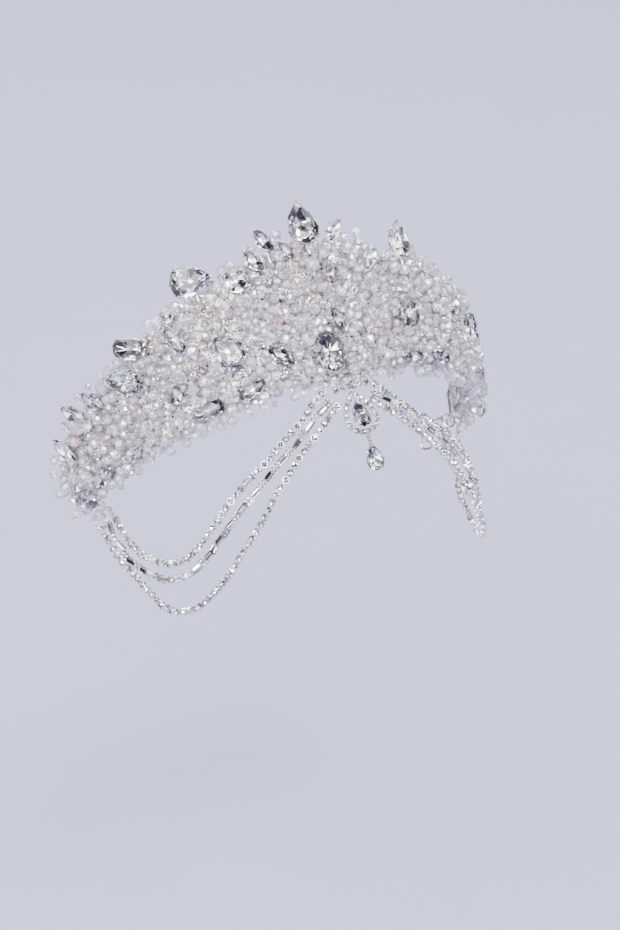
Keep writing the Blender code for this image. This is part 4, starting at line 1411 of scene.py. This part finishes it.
class HEADPIECE_OT_stage(bpy.types.Operator):
    """Lay the paper floor, light the studio and set the camera"""

    bl_idname = "headpiece.stage"
    bl_label = "Studio"

    def execute(self, context):
        settings = context.scene.headpiece_stage
        sheet = {"vertices": 96, "radius": FLOOR_RADIUS_MM * MM, "fill_type": "NGON"}
        under = (0, 0, FLOOR_Z_MM * MM)
        floor = primitive(bpy.ops.mesh.primitive_circle_add, location=under, **sheet)
        floor.name = "studio_floor"
        floor.data.materials.append(material("matt seamless paper", floor_paper, settings))
        self.hang_world(context.scene, settings)
        for name, place, target, size, share in LAMPS:
            deselect()
            bpy.ops.object.light_add(type="AREA", location=place)
            lamp = bpy.context.object
            lamp.name = name
            lamp.data.shape = "SQUARE"
            lamp.data.size = size
            lamp.data.energy = settings.key * share
            aim(lamp, place, target)
        deselect()
        bpy.ops.object.camera_add(location=Vector(CAMERA_MM) * MM)
        camera = bpy.context.object
        aim(camera, CAMERA_MM, TARGET_MM)
        camera.data.lens = CAMERA_LENS_MM
        camera.data.sensor_width = 36.0
        camera.data.clip_end = 50
        context.scene.camera = camera
        return {"FINISHED"}

    def hang_world(self, scene, settings):
        """A dim room with round softboxes, so that facets show both white and grey."""
        world = bpy.data.worlds.new("studio_room")
        scene.world = world
        world.use_nodes = True
        tree = world.node_tree
        tree.nodes.clear()
        way = add_node(tree, "TexCoord", output="Generated")
        total = None
        for heading, radius, share in SOFTBOXES:
            facing = {"operation": "DOT_PRODUCT", 1: Vector(heading).normalized()}
            near = add_node(tree, "VectorMath", facing, {0: way}, output="Value")
            edge = {
                "interpolation_type": "SMOOTHSTEP",
                "From Min": math.cos(math.radians(radius * 1.25)),
                "From Max": math.cos(math.radians(radius * 0.9)),
                "To Max": share * settings.box_light,
            }
            glow = add_node(tree, "MapRange", edge, {"Value": near})
            if total is not None:
                glow = add_node(tree, "Math", {"operation": "ADD"}, {0: total, 1: glow})
            total = glow
        strength = add_node(tree, "Math", {"operation": "ADD", 1: settings.shade}, {0: total})
        colour = {"Color": (*settings.room, 1.0)}
        background = add_node(tree, "Background", colour, {"Strength": strength})
        add_node(tree, "OutputWorld", links={"Surface": background})


class HEADPIECE_PT_panel(bpy.types.Panel):
    bl_idname = "HEADPIECE_PT_panel"
    bl_label = "Bridal headpiece"
    bl_space_type = "VIEW_3D"
    bl_region_type = "UI"
    bl_category = "Headpiece"

    def draw(self, context):
        layout = self.layout
        for group in SETTINGS:
            box = layout.box()
            box.label(text=group.replace("headpiece_", "").title())
            settings = getattr(context.scene, group)
            for name in settings.__annotations__:
                box.prop(settings, name)
        for operator in OPERATORS:
            layout.operator(operator.bl_idname)


SETTINGS = {
    "headpiece_beads": BeadSettings,
    "headpiece_stones": StoneSettings,
    "headpiece_metal": MetalSettings,
    "headpiece_chains": ChainSettings,
    "headpiece_stage": StageSettings,
}
OPERATORS = (
    HEADPIECE_OT_stage,
    HEADPIECE_OT_metal,
    HEADPIECE_OT_ground,
    HEADPIECE_OT_beads,
    HEADPIECE_OT_flowers,
    HEADPIECE_OT_stones,
    HEADPIECE_OT_wraps,
    HEADPIECE_OT_cluster,
    HEADPIECE_OT_pendant,
    HEADPIECE_OT_chains,
)


def register():
    for group, kind in SETTINGS.items():
        bpy.utils.register_class(kind)
        setattr(bpy.types.Scene, group, PointerProperty(type=kind))
    for operator in OPERATORS:
        bpy.utils.register_class(operator)
    bpy.utils.register_class(HEADPIECE_PT_panel)


def unregister():
    bpy.utils.unregister_class(HEADPIECE_PT_panel)
    for operator in reversed(OPERATORS):
        bpy.utils.unregister_class(operator)
    for group, kind in SETTINGS.items():
        delattr(bpy.types.Scene, group)
        bpy.utils.unregister_class(kind)


def main():
    register()
    bpy.ops.headpiece.stage()
    bpy.ops.headpiece.metal()
    bpy.ops.headpiece.ground()
    bpy.ops.headpiece.beads()
    bpy.ops.headpiece.flowers()
    bpy.ops.headpiece.stones()
    bpy.ops.headpiece.wraps()
    bpy.ops.headpiece.cluster()
    bpy.ops.headpiece.pendant()
    bpy.ops.headpiece.chains()


if __name__ == "__main__":
    main()
